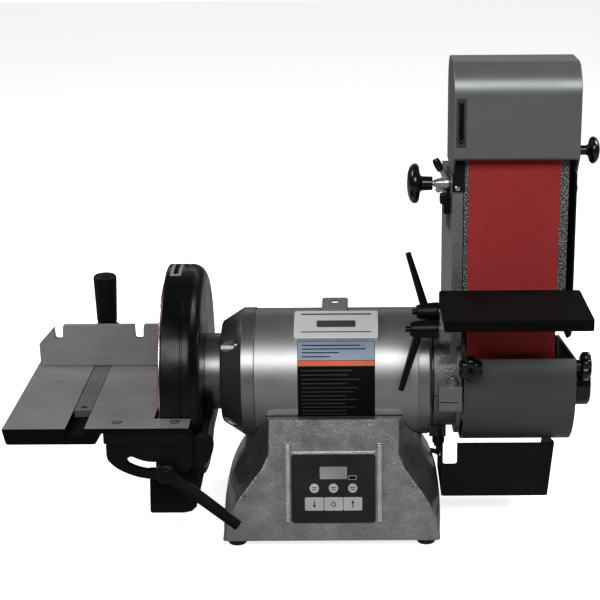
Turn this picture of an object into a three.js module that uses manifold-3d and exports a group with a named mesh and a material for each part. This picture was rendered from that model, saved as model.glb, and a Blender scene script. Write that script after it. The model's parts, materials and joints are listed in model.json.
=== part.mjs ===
// Bench belt and disc sander: a 4 x 36 inch belt unit and a 9 inch disc on one motor.
// Millimetres, Z up. X runs along the motor shaft (disc on the -X end, belt on the +X end),
// and the operator stands on the -Y side. While the sander is built, X = 0 is the middle of
// the base, Y = 0 is the shaft and Z = 0 is the bench; the last lines move the origin to the
// middle of the footprint.
import * as THREE from 'three';
import { mergeVertices } from 'three/addons/utils/BufferGeometryUtils.js';
import Module from 'manifold-3d';

const wasm = await Module();
wasm.setup();

// ---------------------------------------------------------------- driving dimensions
const GAP = 0.3; // clearance between pieces that touch
const AXIS_Z = 180; // shaft height above the bench
const SHAFT_R = 12;

const BELT_WIDTH = 101.6;
const BELT_THICKNESS = 1.2;
const BELT_X = 206.6; // middle of the belt
const BELT_FACE_Y = -63; // the sanding face of the front run
const DRUM_R = 61.5;
const IDLER_R = 35;
const IDLER_Z = 483.3;

const DISC_R = 114.3;
const DISC_FACE_X = -193.8;
const GUARD_R = 128;
const GUARD_FRONT_X = -190.6;
const GUARD_BACK_X = -147;

const SHELL_R = 75;
const SHELL_WALL = 3;
const SHELL_X = [-88, 101];
const BELL_R = 76;
const NECK_R = 45.2;
const BEARING_R = 26;

const FOOT_HEIGHT = 9;
const BASE_TOP = 147;
const BASE_HALF_DEPTH = 110;
const FACE_LEAN = 0.2206; // how far the base's front leans back for each mm of height
const BASE_WALL = 5;

const DISC_TABLE_X = [-361.6, -155.3];
const DISC_TABLE_HALF = 160;
const DISC_TABLE_TOP = 168.3;
const DISC_TABLE_WEB = 6;
const SLOT_X = [-291.5, -270.5];
const SLOT_DEPTH = 9;
const TRUNNION_PIVOT = [-197, DISC_TABLE_TOP];
const TRUNNION_ARC_R = 49.4;
const TRUNNION_SLOT_WIDTH = 11;
const MITRE_PIVOT = [-277.5, 85];
const FENCE_Y = [56, 64];

const BELT_TABLE_X = [123.2, 283.3];
const BELT_TABLE_Y = [-182.7, -66];
const BELT_TABLE_TOP = 297.1;
const BELT_TABLE_THICKNESS = 12.9;
const TABLE_PIVOT = [-72, 274];
const BRACKET_SCREW = [-90, 259];

const ARM_X = [138, 150];
const COLLAR_R = 66;
const COVER_R = 82;
const SHEET = 2.5;
const HOOD_X = [137, 276];
const HOOD_TOP = 553;
const TRACKING_AXIS = [-28, 412.5];

// ---------------------------------------------------------------- shaping helpers
// Columns that carry a shape's own axes to the machine's, for each direction of extrusion.
const AXES = {
  x: [[0, 1, 0], [0, 0, 1], [1, 0, 0]],
  y: [[1, 0, 0], [0, 0, 1], [0, 1, 0]],
  z: [[1, 0, 0], [0, 1, 0], [0, 0, 1]],
};

function turnTo(axis, first, second, third) {
  const columns = [first, second, third].map((i) => new THREE.Vector3(...AXES[axis][i]));
  return new THREE.Matrix4().makeBasis(...columns);
}

// A solid from a closed surface, with its faces turned outwards.
function solid(geometry) {
  geometry.deleteAttribute('normal');
  geometry.deleteAttribute('uv');
  const merged = mergeVertices(geometry, 1e-4);
  const place = merged.getAttribute('position');
  const corner = [0, 1, 2].map(() => new THREE.Vector3());
  const triangles = [];
  let volume = 0;
  for (let i = 0; i < merged.index.count; i += 3) {
    const [a, b, c] = [0, 1, 2].map((k) => merged.index.getX(i + k));
    if (a !== b && b !== c && c !== a) {
      triangles.push(a, b, c);
      [a, b, c].forEach((vertex, k) => corner[k].fromBufferAttribute(place, vertex));
      volume += corner[0].dot(corner[1].clone().cross(corner[2]));
    }
  }
  if (volume < 0) {
    triangles.reverse();
  }
  const mesh = new wasm.Mesh({
    numProp: 3,
    vertProperties: new Float32Array(place.array),
    triVerts: new Uint32Array(triangles),
  });
  return new wasm.Manifold(mesh);
}

const join = (...solids) => solids.reduce((all, next) => all.add(next));
const cut = (body, ...tools) => tools.reduce((all, tool) => all.subtract(tool), body);

// A closed outline; each point is [a, b] or [a, b, corner radius].
function outline(points) {
  const shape = new THREE.Shape();
  points.forEach(([a, b, radius = 0], i) => {
    const toward = ([c, d]) => new THREE.Vector2(c - a, d - b).setLength(radius).add({ x: a, y: b });
    const start = toward(points.at(i - 1));
    const end = toward(points[(i + 1) % points.length]);
    if (i === 0) {
      shape.moveTo(start.x, start.y);
    } else {
      shape.lineTo(start.x, start.y);
    }
    if (radius > 0) {
      shape.quadraticCurveTo(a, b, end.x, end.y);
    }
  });
  return shape;
}

// Extrudes an outline along an axis. The outline is (y, z) for x, (x, z) for y, (x, y) for z.
function prism(axis, shape, from, to, curveSegments = 3) {
  const geometry = new THREE.ExtrudeGeometry(shape, {
    depth: to - from,
    bevelEnabled: false,
    curveSegments,
  });
  geometry.translate(0, 0, from);
  return solid(geometry.applyMatrix4(turnTo(axis, 0, 1, 2)));
}

function slab([x0, x1], [y0, y1], [z0, z1]) {
  const geometry = new THREE.BoxGeometry(x1 - x0, y1 - y0, z1 - z0);
  return solid(geometry.translate((x0 + x1) / 2, (y0 + y1) / 2, (z0 + z1) / 2));
}

// Turns a profile of [along, radius] points about a line parallel to an axis. The profile
// runs from axis to axis, or closes on itself to make a ring.
function turned(axis, profile, [a, b], segments) {
  const geometry = new THREE.LatheGeometry(profile.map(([s, r]) => new THREE.Vector2(r, s)), segments);
  geometry.applyMatrix4(turnTo(axis, 0, 2, 1));
  const shift = { x: [0, a, b], y: [a, 0, b], z: [a, b, 0] }[axis];
  return solid(geometry.translate(...shift));
}

function rod(axis, stations, centre, segments = 24) {
  const last = stations.length - 1;
  return turned(axis, [[stations[0][0], 0], ...stations, [stations[last][0], 0]], centre, segments);
}

const cylinder = (axis, from, to, radius, centre, segments) =>
  rod(axis, [[from, radius], [to, radius]], centre, segments);

function ring(axis, from, to, inner, outer, centre, segments = 24) {
  const profile = [[from, inner], [from, outer], [to, outer], [to, inner], [from, inner]];
  return turned(axis, profile, centre, segments);
}

const onShaft = [0, AXIS_Z];

// A bar with a regular section between two points.
function bar(start, end, radius, sides = 6, endRadius = radius) {
  const from = new THREE.Vector3(...start);
  const along = new THREE.Vector3(...end).sub(from);
  const geometry = new THREE.CylinderGeometry(endRadius, radius, along.length(), sides);
  geometry.translate(0, along.length() / 2, 0);
  const turn = new THREE.Quaternion().setFromUnitVectors(new THREE.Vector3(0, 1, 0), along.normalize());
  geometry.applyQuaternion(turn);
  return solid(geometry.translate(...start));
}

// ---------------------------------------------------------------- finishes
const FINISHES = {
  hammered: { color: 0x8d9190, roughness: 0.42, metalness: 0.35 },
  motorPaint: { color: 0x8f9392, roughness: 0.38, metalness: 0.45 },
  darkGrey: { color: 0x5a5e5d, roughness: 0.45, metalness: 0.3 },
  black: { color: 0x101212, roughness: 0.42, metalness: 0.1 },
  castBlack: { color: 0x0d0f0f, roughness: 0.6, metalness: 0.2 },
  machined: { color: 0x767b7a, roughness: 0.35, metalness: 0.8 },
  steel: { color: 0xa9adad, roughness: 0.25, metalness: 1 },
  aluminium: { color: 0xc8c6c2, roughness: 0.4, metalness: 0.9 },
  abrasive: { color: 0x872e2e, roughness: 0.95, metalness: 0 },
  graphite: { color: 0x45494a, roughness: 0.8, metalness: 0.1 },
  rubber: { color: 0x0b0b0b, roughness: 0.85, metalness: 0 },
  plastic: { color: 0x0e0f10, roughness: 0.35, metalness: 0 },
  copper: { color: 0x8a5a3c, roughness: 0.5, metalness: 0.7 },
};

const sander = new THREE.Group();

function add(name, body, finish, parent = sander) {
  const { vertProperties, triVerts } = body.getMesh();
  const geometry = new THREE.BufferGeometry();
  geometry.setAttribute('position', new THREE.BufferAttribute(vertProperties, 3));
  geometry.setIndex(new THREE.BufferAttribute(triVerts, 1));
  geometry.computeVertexNormals();
  const material = new THREE.MeshStandardMaterial({ ...FINISHES[finish], flatShading: true });
  const mesh = new THREE.Mesh(geometry, material);
  mesh.name = name;
  parent.add(mesh);
}

// ---------------------------------------------------------------- base
// Half width of the base's front face: an S-curve from the motor pad to the foot of the base.
function frontHalfWidth(z) {
  const fall = THREE.MathUtils.clamp((105 - z) / 96, 0, 1);
  return 76.5 + 49.5 * (1 - Math.cos(Math.PI * fall ** 0.72)) / 2;
}

const bodyHalfWidth = (z) => 130 - 26 * (Math.min(z, 97) / 97) ** 2.7;
const faceY = (z) => -BASE_HALF_DEPTH + (z - FOOT_HEIGHT) * FACE_LEAN;

// The base's plan at one height: narrow front and back faces that flare out to the body.
function basePlan(z, inset) {
  const front = -faceY(z) - inset;
  const narrow = frontHalfWidth(z) - inset;
  const wide = bodyHalfWidth(z) - inset;
  const middle = 3.5 * (z - FOOT_HEIGHT) / (BASE_TOP - FOOT_HEIGHT);
  const corner = 4;
  const quarter = [[narrow - corner, front], [narrow - 1.2, front - 1.2], [narrow, front - corner]];
  for (const k of [0.25, 0.5, 0.75, 1]) {
    const swell = THREE.MathUtils.smoothstep(k, 0, 1);
    quarter.push([THREE.MathUtils.lerp(narrow, wide, swell), THREE.MathUtils.lerp(front - corner, 20, k)]);
  }
  const backward = [...quarter].reverse();
  return [
    ...quarter.map(([x, y]) => [middle + x, -y]),
    ...backward.map(([x, y]) => [middle + x, y]),
    ...quarter.map(([x, y]) => [middle - x, y]),
    ...backward.map(([x, y]) => [middle - x, -y]),
  ];
}

// Skins a stack of plans into a closed solid.
function stack(heights, inset) {
  const rings = heights.map((z) => basePlan(z, inset).map(([x, y]) => [x, y, z]));
  const count = rings[0].length;
  const indices = [];
  for (let level = 0; level < rings.length - 1; level += 1) {
    for (let i = 0; i < count; i += 1) {
      const [a, b] = [level * count + i, level * count + (i + 1) % count];
      indices.push(a, b, b + count, a, b + count, a + count);
    }
  }
  const lid = THREE.ShapeUtils.triangulateShape(rings[0].map(([x, y]) => new THREE.Vector2(x, y)), []);
  const top = (rings.length - 1) * count;
  for (const [a, b, c] of lid) {
    indices.push(a, c, b, top + a, top + b, top + c);
  }
  const geometry = new THREE.BufferGeometry();
  geometry.setAttribute('position', new THREE.Float32BufferAttribute(rings.flat(2), 3));
  geometry.setIndex(indices);
  return solid(geometry);
}

// The control panel lies on the sloping front, in a group whose Z runs up the slope and
// whose -Y points out of it.
const face = new THREE.Group();
const PANEL_FOOT_Z = 30;
const PANEL_MIDDLE_X = 2.5;
const PANEL_WIDTH = 97;
const PANEL_HEIGHT = 79.4;
face.position.set(PANEL_MIDDLE_X, faceY(PANEL_FOOT_Z), PANEL_FOOT_Z);
face.rotation.x = -Math.atan(FACE_LEAN);
face.updateMatrix();
sander.add(face);

const onFace = (body) => body.transform(face.matrix.elements);

const LEAD_ENTRY = [33, 64]; // where the motor lead enters the base's right side, in y and z
const INLET = [60, 42]; // where the mains inlet sits in the base's back, in x and z

function baseCasting() {
  const outside = stack([9, 28, 44, 56, 68, 80, 92, 108, BASE_TOP], 0);
  const hollow = stack([8, 40, 64, 94], BASE_WALL);
  const ribHeight = 92;
  const ribs = [-52.7, 53.3].map((x) => onFace(slab([x - 2.9, x + 2.9], [-2.6, 3], [0, ribHeight])));
  const ledge = onFace(slab([-49, 49.6], [-1.6, 3], [PANEL_HEIGHT + GAP, PANEL_HEIGHT + 3.6]));
  return cut(
    join(outside, ...ribs, ledge),
    hollow,
    cylinder('x', -140, 140, BELL_R + GAP, onShaft, 40),
    cylinder('x', 100, 140, 7, LEAD_ENTRY, 12),
    cylinder('y', 80, 125, 8.4, INLET, 16),
  );
}

function roundedPlate(axis, [a0, a1], [b0, b1], radius, from, to) {
  const corners = [[a0, b0, radius], [a1, b0, radius], [a1, b1, radius], [a0, b1, radius]];
  return prism(axis, outline(corners), from, to);
}

const KEY_PITCH = 22.2;
const ROUND_KEY_Z = 40.4;
const BAR_KEY_Z = 22.2;
const KEY_TRAVEL_ROOM = 1;

function controlPanel() {
  const half = PANEL_WIDTH / 2;
  const plate = roundedPlate('y', [-half, half], [0, PANEL_HEIGHT], 4, -3, -GAP);
  const roundHoles = [-1, 0, 1].map((i) => cylinder('y', -4, 0, 6.1, [i * KEY_PITCH, ROUND_KEY_Z], 16));
  const barHole = slab([-33.6, 33.6], [-4, 0], [BAR_KEY_Z - 8.2, BAR_KEY_Z + 8.2]);
  const display = slab([-16, 16], [-4, -1.8], [50.8, 65.8]);
  return cut(plate, ...roundHoles, barHole, display);
}

add('base_casting', baseCasting(), 'hammered');
add('bottom_plate', roundedPlate('z', [-114, 114], [-98, 98], 8, 9.4, 11.8), 'black');
add('speed_controller', join(
  slab([-45, 45], [-40, 40], [12.2, 20]),
  slab([-40, 40], [-34, 34], [18, 62]),
), 'black');
for (const [side, x] of [['left', -110], ['right', 110]]) {
  for (const [end, y] of [['front', -94], ['back', 94]]) {
    const foot = rod('z', [[0, 9.5], [2, 11], [FOOT_HEIGHT - GAP, 11.5]], [x, y], 16);
    add(`foot_${end}_${side}`, foot, 'rubber');
  }
}
add('cord_inlet', rod('y', [[92, 8], [106.2, 8], [106.2, 12], [111, 12], [124, 7.5]], INLET, 12), 'plastic');
add('control_panel', controlPanel(), 'plastic', face);
['preset', 'mode', 'timer'].forEach((name, i) => {
  const centre = [(i - 1) * KEY_PITCH, ROUND_KEY_Z];
  const cap = rod('y', [[-3.8, 5], [-3.3, 5.6], [-KEY_TRAVEL_ROOM, 5.6]], centre, 16);
  add(`${name}_key`, cap, 'plastic', face);
});
['slower', 'power', 'faster'].forEach((name, i) => {
  const x = (i - 1) * KEY_PITCH;
  const heights = [BAR_KEY_Z - 7.8, BAR_KEY_Z + 7.8];
  const cap = roundedPlate('y', [x - 10.8, x + 10.8], heights, 1.5, -3.8, -KEY_TRAVEL_ROOM);
  add(`${name}_key`, cap, 'plastic', face);
});

// ---------------------------------------------------------------- motor
function discEndBell() {
  const profile = [
    [SHELL_X[0] - GAP, 66], [SHELL_X[0] - GAP, BELL_R], [-103, BELL_R], [-127, 60.5], [-128.5, 58],
    [-128.5, NECK_R], [GUARD_BACK_X + GAP, NECK_R], [GUARD_BACK_X + GAP, 15], [-143, 15],
    [-143, BEARING_R + GAP], [-122, BEARING_R + GAP], [-99, 66], [SHELL_X[0] - GAP, 66],
  ];
  const pockets = [1, 3, 5, 7].map((k) => {
    const angle = k * Math.PI / 4;
    return cylinder('x', -140, -106, 6.8, [66 * Math.cos(angle), AXIS_Z + 66 * Math.sin(angle)], 10);
  });
  return cut(turned('x', profile, onShaft, 36), ...pockets);
}

function beltEndBell() {
  const profile = [
    [SHELL_X[1] + GAP, 68], [SHELL_X[1] + GAP, BELL_R], [114, BELL_R], [116.7, 73.5], [116.7, NECK_R],
    [144, NECK_R], [144, 15], [134.3, 15], [134.3, BEARING_R + GAP], [112, BEARING_R + GAP],
    [106, 68], [SHELL_X[1] + GAP, 68],
  ];
  return turned('x', profile, onShaft, 36);
}

add('motor_shell', ring('x', ...SHELL_X, SHELL_R - SHELL_WALL, SHELL_R, onShaft, 44), 'motorPaint');
add('disc_end_bell', discEndBell(), 'motorPaint');
add('belt_end_bell', beltEndBell(), 'motorPaint');
add('stator', ring('x', -60, 60, 43, SHELL_R - SHELL_WALL - 2 * GAP, onShaft, 24), 'copper');
add('disc_bearing', ring('x', -142.6, -130, SHAFT_R + GAP, BEARING_R - 0.2, onShaft, 20), 'steel');
add('belt_bearing', ring('x', 120, 133.9, SHAFT_R + GAP, BEARING_R - 0.2, onShaft, 20), 'steel');
const SHAFT_STATIONS = [
  [-175.7, SHAFT_R], [-60, SHAFT_R], [-58, 41], [58, 41], [60, SHAFT_R], [262, SHAFT_R],
];
add('motor_shaft', rod('x', SHAFT_STATIONS, onShaft, 20), 'steel');

const TAB_TOP = 259.4;
add('lamp_tab', cut(
  join(
    roundedPlate('z', [-10.5, 20.5], [-12, 38], 5, TAB_TOP - 3, TAB_TOP),
    slab([-8, 18], [-9, 9], [250, TAB_TOP - 1]),
  ),
  cylinder('x', -40, 40, SHELL_R + GAP, onShaft, 48),
  cylinder('z', 240, 270, 6.4, [5, 23], 16),
), 'motorPaint');

const GLAND_X = 128.5;
add('lead_gland', join(
  slab([117.1, 137], [-8.5, 8.5], [98, 111.4]),
  cylinder('z', 88, 99, 7.5, [GLAND_X, 0], 12),
  cylinder('z', 83.5, 89, 5.5, [GLAND_X, 0], 12),
), 'plastic');
const leadRoute = new THREE.CatmullRomCurve3([
  [GLAND_X, 0, 83.2], [GLAND_X, 0.4, 78], [GLAND_X, 9, 70.5], [GLAND_X, 23, 66], [123.6, 32, 64.3],
  [114, ...LEAD_ENTRY], [103, ...LEAD_ENTRY],
].map((point) => new THREE.Vector3(...point)));
const leadSection = new THREE.Shape().absarc(0, 0, 3.1, 0, 2 * Math.PI);
add('motor_lead', solid(new THREE.ExtrudeGeometry(leadSection, {
  steps: 14,
  curveSegments: 4,
  extrudePath: leadRoute,
})), 'rubber');

// ---------------------------------------------------------------- disc unit
function discGuard() {
  const wall = 3;
  const shoulder = 17;
  const rounding = (radius, turnX) => [0, 1, 2, 3].map((k) => {
    const angle = k * Math.PI / 6;
    return [turnX + radius * Math.sin(angle), GUARD_R - shoulder + radius * Math.cos(angle)];
  });
  const centreX = GUARD_BACK_X - shoulder;
  const profile = [
    [GUARD_FRONT_X, GUARD_R - wall], [GUARD_FRONT_X, GUARD_R],
    ...rounding(shoulder, centreX), [GUARD_BACK_X, 28], [GUARD_BACK_X - wall, 28],
    ...rounding(shoulder - wall, centreX).reverse(), [GUARD_FRONT_X, GUARD_R - wall],
  ];
  const mouth = slab([GUARD_FRONT_X + 3, GUARD_BACK_X - 4], [-70, 20], [40, 110]);
  return cut(turned('x', profile, onShaft, 40), mouth);
}

const DISC_CHUTE = { x: [-210, -155], y: [-98, 34], z: [40, 128] };

function discChute() {
  const { x, y, z } = DISC_CHUTE;
  const corner = 16;
  const outside = outline([[x[0], z[0], 3], [x[1], z[0], corner], [x[1] + 6, z[1]], [x[0] + 2, z[1]]]);
  const inside = outline([
    [x[0] + 2.5, z[0] + 2.5, 2], [x[1] - 2.5, z[0] + 2.5, corner - 2],
    [x[1] + 3.5, z[1] + 1], [x[0] + 4.5, z[1] + 1],
  ]);
  return cut(
    prism('y', outside, ...y),
    prism('y', inside, y[0] + 2.5, y[1] - 2.5),
    cylinder('x', -230, -140, GUARD_R + 0.8, onShaft, 40),
    cylinder('y', y[1] - 3, y[1] + 1, 15, [-182, 58], 16),
  );
}

const STUD_ANGLE = 16.5 * Math.PI / 180;
const STUD = [
  TRUNNION_PIVOT[0] + TRUNNION_ARC_R * Math.sin(STUD_ANGLE),
  TRUNNION_PIVOT[1] - TRUNNION_ARC_R * Math.cos(STUD_ANGLE),
];
const YOKE_Y = [126, 138];
const TRUNNION_Y = [140, 150];

// The yoke hangs on the bell's neck and carries a stud for each of the table's trunnions.
function trunnionYoke() {
  const cheek = outline([
    [-146.2, 150, 6], [-196, 150, 3], [-196, 96, 8], [-160, 92, 12], [-131, 128, 10], [-131, 146, 8],
  ]);
  const cheeks = [-1, 1].map((side) => prism('y', cheek, ...YOKE_Y.map((y) => side * y).sort((a, b) => a - b)));
  const studs = [-1, 1].map((side) => {
    const [from, to] = [side * (YOKE_Y[0] + 4), side * (TRUNNION_Y[1] + 1)].sort((a, b) => a - b);
    return cylinder('y', from, to, 4.8, STUD, 12);
  });
  const beam = slab([-146.2, -138], [-YOKE_Y[1] + 1, YOKE_Y[1] - 1], [122, 149]);
  const hanger = slab([-146.2, -138], [-56, 56], [122, 170]);
  return cut(join(...cheeks, ...studs, beam, hanger), cylinder('x', -150, -130, NECK_R + 0.6, onShaft, 28));
}

// The arc slot in a trunnion, concentric with the tilt pivot.
function trunnionSlot(from, to) {
  const [x, z] = TRUNNION_PIVOT;
  const half = TRUNNION_SLOT_WIDTH / 2;
  const [start, end] = [-90 - 29.6, -90 + 17.6].map(THREE.MathUtils.degToRad);
  const tip = (angle) => [x + TRUNNION_ARC_R * Math.cos(angle), z + TRUNNION_ARC_R * Math.sin(angle)];
  const shape = new THREE.Shape();
  shape.absarc(x, z, TRUNNION_ARC_R + half, start, end, false);
  shape.absarc(...tip(end), half, end, end + Math.PI, false);
  shape.absarc(x, z, TRUNNION_ARC_R - half, end, start, true);
  shape.absarc(...tip(start), half, start + Math.PI, start, false);
  return prism('y', shape, from, to, 5);
}

function trunnion(side) {
  const top = DISC_TABLE_TOP - DISC_TABLE_WEB - GAP;
  const plate = outline([
    [-249, top], [-249.3, 127, 7], [-236, 115, 7], [-217, 106.5, 9], [-192, 102.5, 12],
    [-167, 106.5, 9], [-153, 118, 7], [-153, top],
  ]);
  const [from, to] = TRUNNION_Y.map((y) => side * y).sort((a, b) => a - b);
  const [lipFrom, lipTo] = [TRUNNION_Y[0] - 0.5, 157].map((y) => side * y).sort((a, b) => a - b);
  const lip = slab([-250.5, -156.5], [lipFrom, lipTo], [149, top]);
  return cut(join(prism('y', plate, from, to), lip), trunnionSlot(from - 1, to + 1));
}

function discTable() {
  const [left, right] = DISC_TABLE_X;
  const [top, web] = [DISC_TABLE_TOP, DISC_TABLE_TOP - DISC_TABLE_WEB];
  const skirt = top - 18.5;
  const section = outline([
    [left, top, 1], [SLOT_X[0], top], [SLOT_X[0], top - SLOT_DEPTH], [SLOT_X[1], top - SLOT_DEPTH],
    [SLOT_X[1], top], [right, top, 1], [right, web], [-251.5, web], [-259, skirt, 2], [left + 4, skirt, 3],
  ]);
  const half = DISC_TABLE_HALF;
  const notchEdge = DISC_FACE_X - 2.8;
  const notch = prism('y', outline([
    [notchEdge, 180], [right + 5, 180], [right + 5, 150], [notchEdge - 18, 150], [notchEdge - 0.2, top - 0.3],
  ]), -129.5, 129.5);
  const hollow = slab([left + 9, SLOT_X[0] - 5], [8 - half, half - 8], [skirt - 5, web]);
  return cut(prism('y', section, -half, half), notch, hollow);
}

function mitreFence() {
  const [bottom, top] = [DISC_TABLE_TOP + 0.4, 220];
  const notchDepth = 17;
  const notch = (x) => [
    [x - 5.5, top, 1], [x - 5, top - notchDepth, 2.5], [x + 4.6, top - notchDepth, 2.5], [x + 5.5, top, 2],
  ];
  const shape = outline([
    [-357, bottom], [-357.6, 196.5, 1], [-338.6, 217.5, 0.5], [-337.6, top - notchDepth, 2.5],
    [-328.4, top - notchDepth, 2.5], [-327.6, top, 2], ...notch(-234.6), [-202, top], [-202, bottom],
  ]);
  return prism('y', shape, ...FENCE_Y);
}

function mitreHead() {
  const floor = DISC_TABLE_TOP + 0.4;
  const stations = [[floor, 38], [floor + 10, 38], [floor + 14, 34], [floor + 20, 20], [212, 15], [214.6, 12]];
  const inFront = slab([-400, -150], [0, FENCE_Y[1] + GAP], [100, 300]);
  const screwPads = slab([-330, -232], [FENCE_Y[1] + GAP, 77], [floor, floor + 22]);
  return cut(join(rod('z', stations, MITRE_PIVOT, 20), screwPads), inFront);
}

const LOCK_HUB = [-182, -158.5, 115.5];
const discProfile = [
  [DISC_FACE_X + 1.5, DISC_R], [-184, DISC_R], [-184, 24], [-152, 24], [-152, SHAFT_R + GAP],
  [-176, SHAFT_R + GAP], [-176, 0],
];
add('sanding_disc', turned('x', [[DISC_FACE_X + 1.5, 0], ...discProfile], onShaft, 44), 'aluminium');
add('abrasive_disc', cylinder('x', DISC_FACE_X, DISC_FACE_X + 1.2, DISC_R, onShaft, 44), 'abrasive');
add('disc_guard', discGuard(), 'castBlack');
add('disc_dust_chute', discChute(), 'black');
add('trunnion_yoke', trunnionYoke(), 'castBlack');
add('disc_table', discTable(), 'machined');
add('front_trunnion', trunnion(-1), 'castBlack');
add('rear_trunnion', trunnion(1), 'castBlack');
add('table_lock_lever', join(
  rod('y', [[-167, 9], [-165, 11.3], [-151.4, 11.3]], [LOCK_HUB[0], LOCK_HUB[2]], 14),
  bar(LOCK_HUB, [-104, -158.5, 51], 8, 6, 6.6),
), 'castBlack');
const BAR_TOP = DISC_TABLE_TOP - 0.4;
add('mitre_bar', cut(
  slab([SLOT_X[0] + 0.6, SLOT_X[1] - 0.6], [-100, 108], [DISC_TABLE_TOP - SLOT_DEPTH + GAP, BAR_TOP]),
  ...[-283.5, -278.5].map((x) => cylinder('z', 150, 180, 1.7, [x, -90], 8)),
), 'machined');
add('mitre_fence', mitreFence(), 'machined');
add('mitre_head', mitreHead(), 'darkGrey');
add('mitre_handle', rod('z', [
  [214.9, 11], [217, 12.2], [272, 14.2], [275.5, 13.2], [277, 10],
], MITRE_PIVOT, 16), 'plastic');

// ---------------------------------------------------------------- belt unit
const IDLER_Y = BELT_FACE_Y + IDLER_R + GAP + BELT_THICKNESS;
const onIdler = [IDLER_Y, IDLER_Z];
const BELT_EDGES = [BELT_X - BELT_WIDTH / 2, BELT_X + BELT_WIDTH / 2];

// A loop round both rollers. The front run is upright, and the back run leans forward by
// twice the lean of the line between the two axes.
function beltLoop(drumRadius, idlerRadius) {
  const lean = 2 * Math.atan2(-IDLER_Y, IDLER_Z - AXIS_Z);
  const loop = new THREE.Shape();
  loop.absarc(0, AXIS_Z, drumRadius, Math.PI, 2 * Math.PI + lean, false);
  loop.absarc(...onIdler, idlerRadius, lean, Math.PI, false);
  return loop;
}

function sandingBelt() {
  const [drum, idler] = [DRUM_R + GAP, IDLER_R + GAP];
  const shape = beltLoop(drum + BELT_THICKNESS, idler + BELT_THICKNESS);
  shape.holes.push(beltLoop(drum, idler));
  return prism('x', shape, ...BELT_EDGES, 16);
}

// The arm: a split collar clamped on the belt-end bell, a round flange, and an upright plate
// with a slot at its top for the tension slide.
const SLIDE_SLOT_Y = [-43, -10];

function beltArm() {
  const collar = cylinder('x', 119.5, 145.5, COLLAR_R, onShaft, 32);
  const flange = cylinder('x', 145, ARM_X[1], SHELL_R, onShaft, 36);
  const [back, front] = ARM_X;
  const plate = prism('x', outline([
    [-58, 196], [-58, 429.5], [24, 429.5, 6], [26, 300, 30], [50, 210], [40, 180], [-50, 180],
  ]), back, front);
  const tongue = prism('x', outline([[-58, 420], [-58, 462, 6], [14, 462, 6], [14, 420]]), 140, front);
  const flarePlan = outline([[back + 1, -57], [back + 1, 24], [130.5, 24, 2], [back, -57]]);
  const flare = prism('z', flarePlan, 232, 428);
  const clampBlock = prism('x', outline([
    [-56, 188], [-86, 188, 2], [-86, 156, 6], [-60, 152], [-50, 160],
  ]), 124, front);
  const screwBoss = cylinder('z', 186, 193, 7, [140, -74], 12);
  return cut(
    join(collar, flange, plate, tongue, flare, clampBlock, screwBoss),
    cylinder('x', 110, 145, NECK_R + 0.6, onShaft, 32),
    cylinder('x', 140, 160, 30, onShaft, 24),
    slab([115, 146], [-90, -40], [168.8, 170]),
    slab([120, 160], SLIDE_SLOT_Y, [360, 480]),
  );
}

const PLATEN_X = [ARM_X[1] + GAP + 0.5, 267];

function platen() {
  const plate = slab(PLATEN_X, [-60.3, -54], [262, 446]);
  const lugs = [292, 336].map((z) => slab([PLATEN_X[0], PLATEN_X[0] + 8], [-55, -20], [z, z + 24]));
  return join(plate, ...lugs);
}

function upperHood() {
  const [front, back, lip, bend] = [-80, 33, 451, 34];
  const arch = (inset, bottom) => {
    const top = HOOD_TOP - inset;
    const shape = new THREE.Shape();
    shape.moveTo(front + inset, bottom === undefined ? lip : bottom);
    shape.lineTo(front + inset, top - bend + inset);
    shape.absarc(front + bend, top - bend + inset, bend - inset, Math.PI, Math.PI / 2, true);
    shape.absarc(back - bend, top - bend + inset, bend - inset, Math.PI / 2, 0, true);
    shape.lineTo(back - inset, bottom === undefined ? 430 : bottom);
    if (bottom === undefined) {
      shape.lineTo(front + 18, 430);
    }
    return shape;
  };
  const outside = prism('x', arch(0), ...HOOD_X, 6);
  return cut(outside, prism('x', arch(SHEET, 400), HOOD_X[0] + SHEET, HOOD_X[1] - SHEET, 6));
}

// The sheet that wraps round the drum, with a closed right end.
function lowerCover() {
  const [start, end] = [153, 372].map(THREE.MathUtils.degToRad);
  const wrap = new THREE.Shape();
  wrap.absarc(0, AXIS_Z, COVER_R, start, end, false);
  wrap.absarc(0, AXIS_Z, COVER_R - SHEET, end, start, true);
  const wall = new THREE.Shape().absarc(0, AXIS_Z, COVER_R, start, end, false);
  return join(prism('x', wrap, 152.5, 281, 18), prism('x', wall, 281 - SHEET, 281, 18));
}

// Right side panel and back guard, bent from one sheet; the back runs beside the belt.
function sidePanel() {
  const lean = 2 * Math.atan2(-IDLER_Y, IDLER_Z - AXIS_Z);
  const backAt = (z, clear) => (DRUM_R + clear) / Math.cos(lean) - (z - AXIS_Z) * Math.tan(lean);
  const [low, high] = [228, 429];
  const wall = outline([
    [-58, 240, 8], [-58, high], [backAt(high, 11), high], [backAt(low, 11), low], [-30, low],
  ]);
  const guard = outline([
    [backAt(high, 8.6), high], [backAt(high, 11), high], [backAt(low, 11), low], [backAt(low, 8.6), low],
  ]);
  return join(prism('x', wall, 274.4, 276.8), prism('x', guard, 152.5, 276));
}

// A flat knob with rounded lobes round its rim.
function lobedKnob(axis, from, to, radius, lobes, centre) {
  const shape = new THREE.Shape();
  const count = lobes * 4;
  for (let i = 0; i < count; i += 1) {
    const angle = i * 2 * Math.PI / count;
    const reach = radius * (0.88 + 0.12 * Math.cos(lobes * angle));
    const place = [centre[0] + reach * Math.cos(angle), centre[1] + reach * Math.sin(angle)];
    if (i === 0) {
      shape.moveTo(...place);
    } else {
      shape.lineTo(...place);
    }
  }
  return prism(axis, shape, from, to);
}

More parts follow.
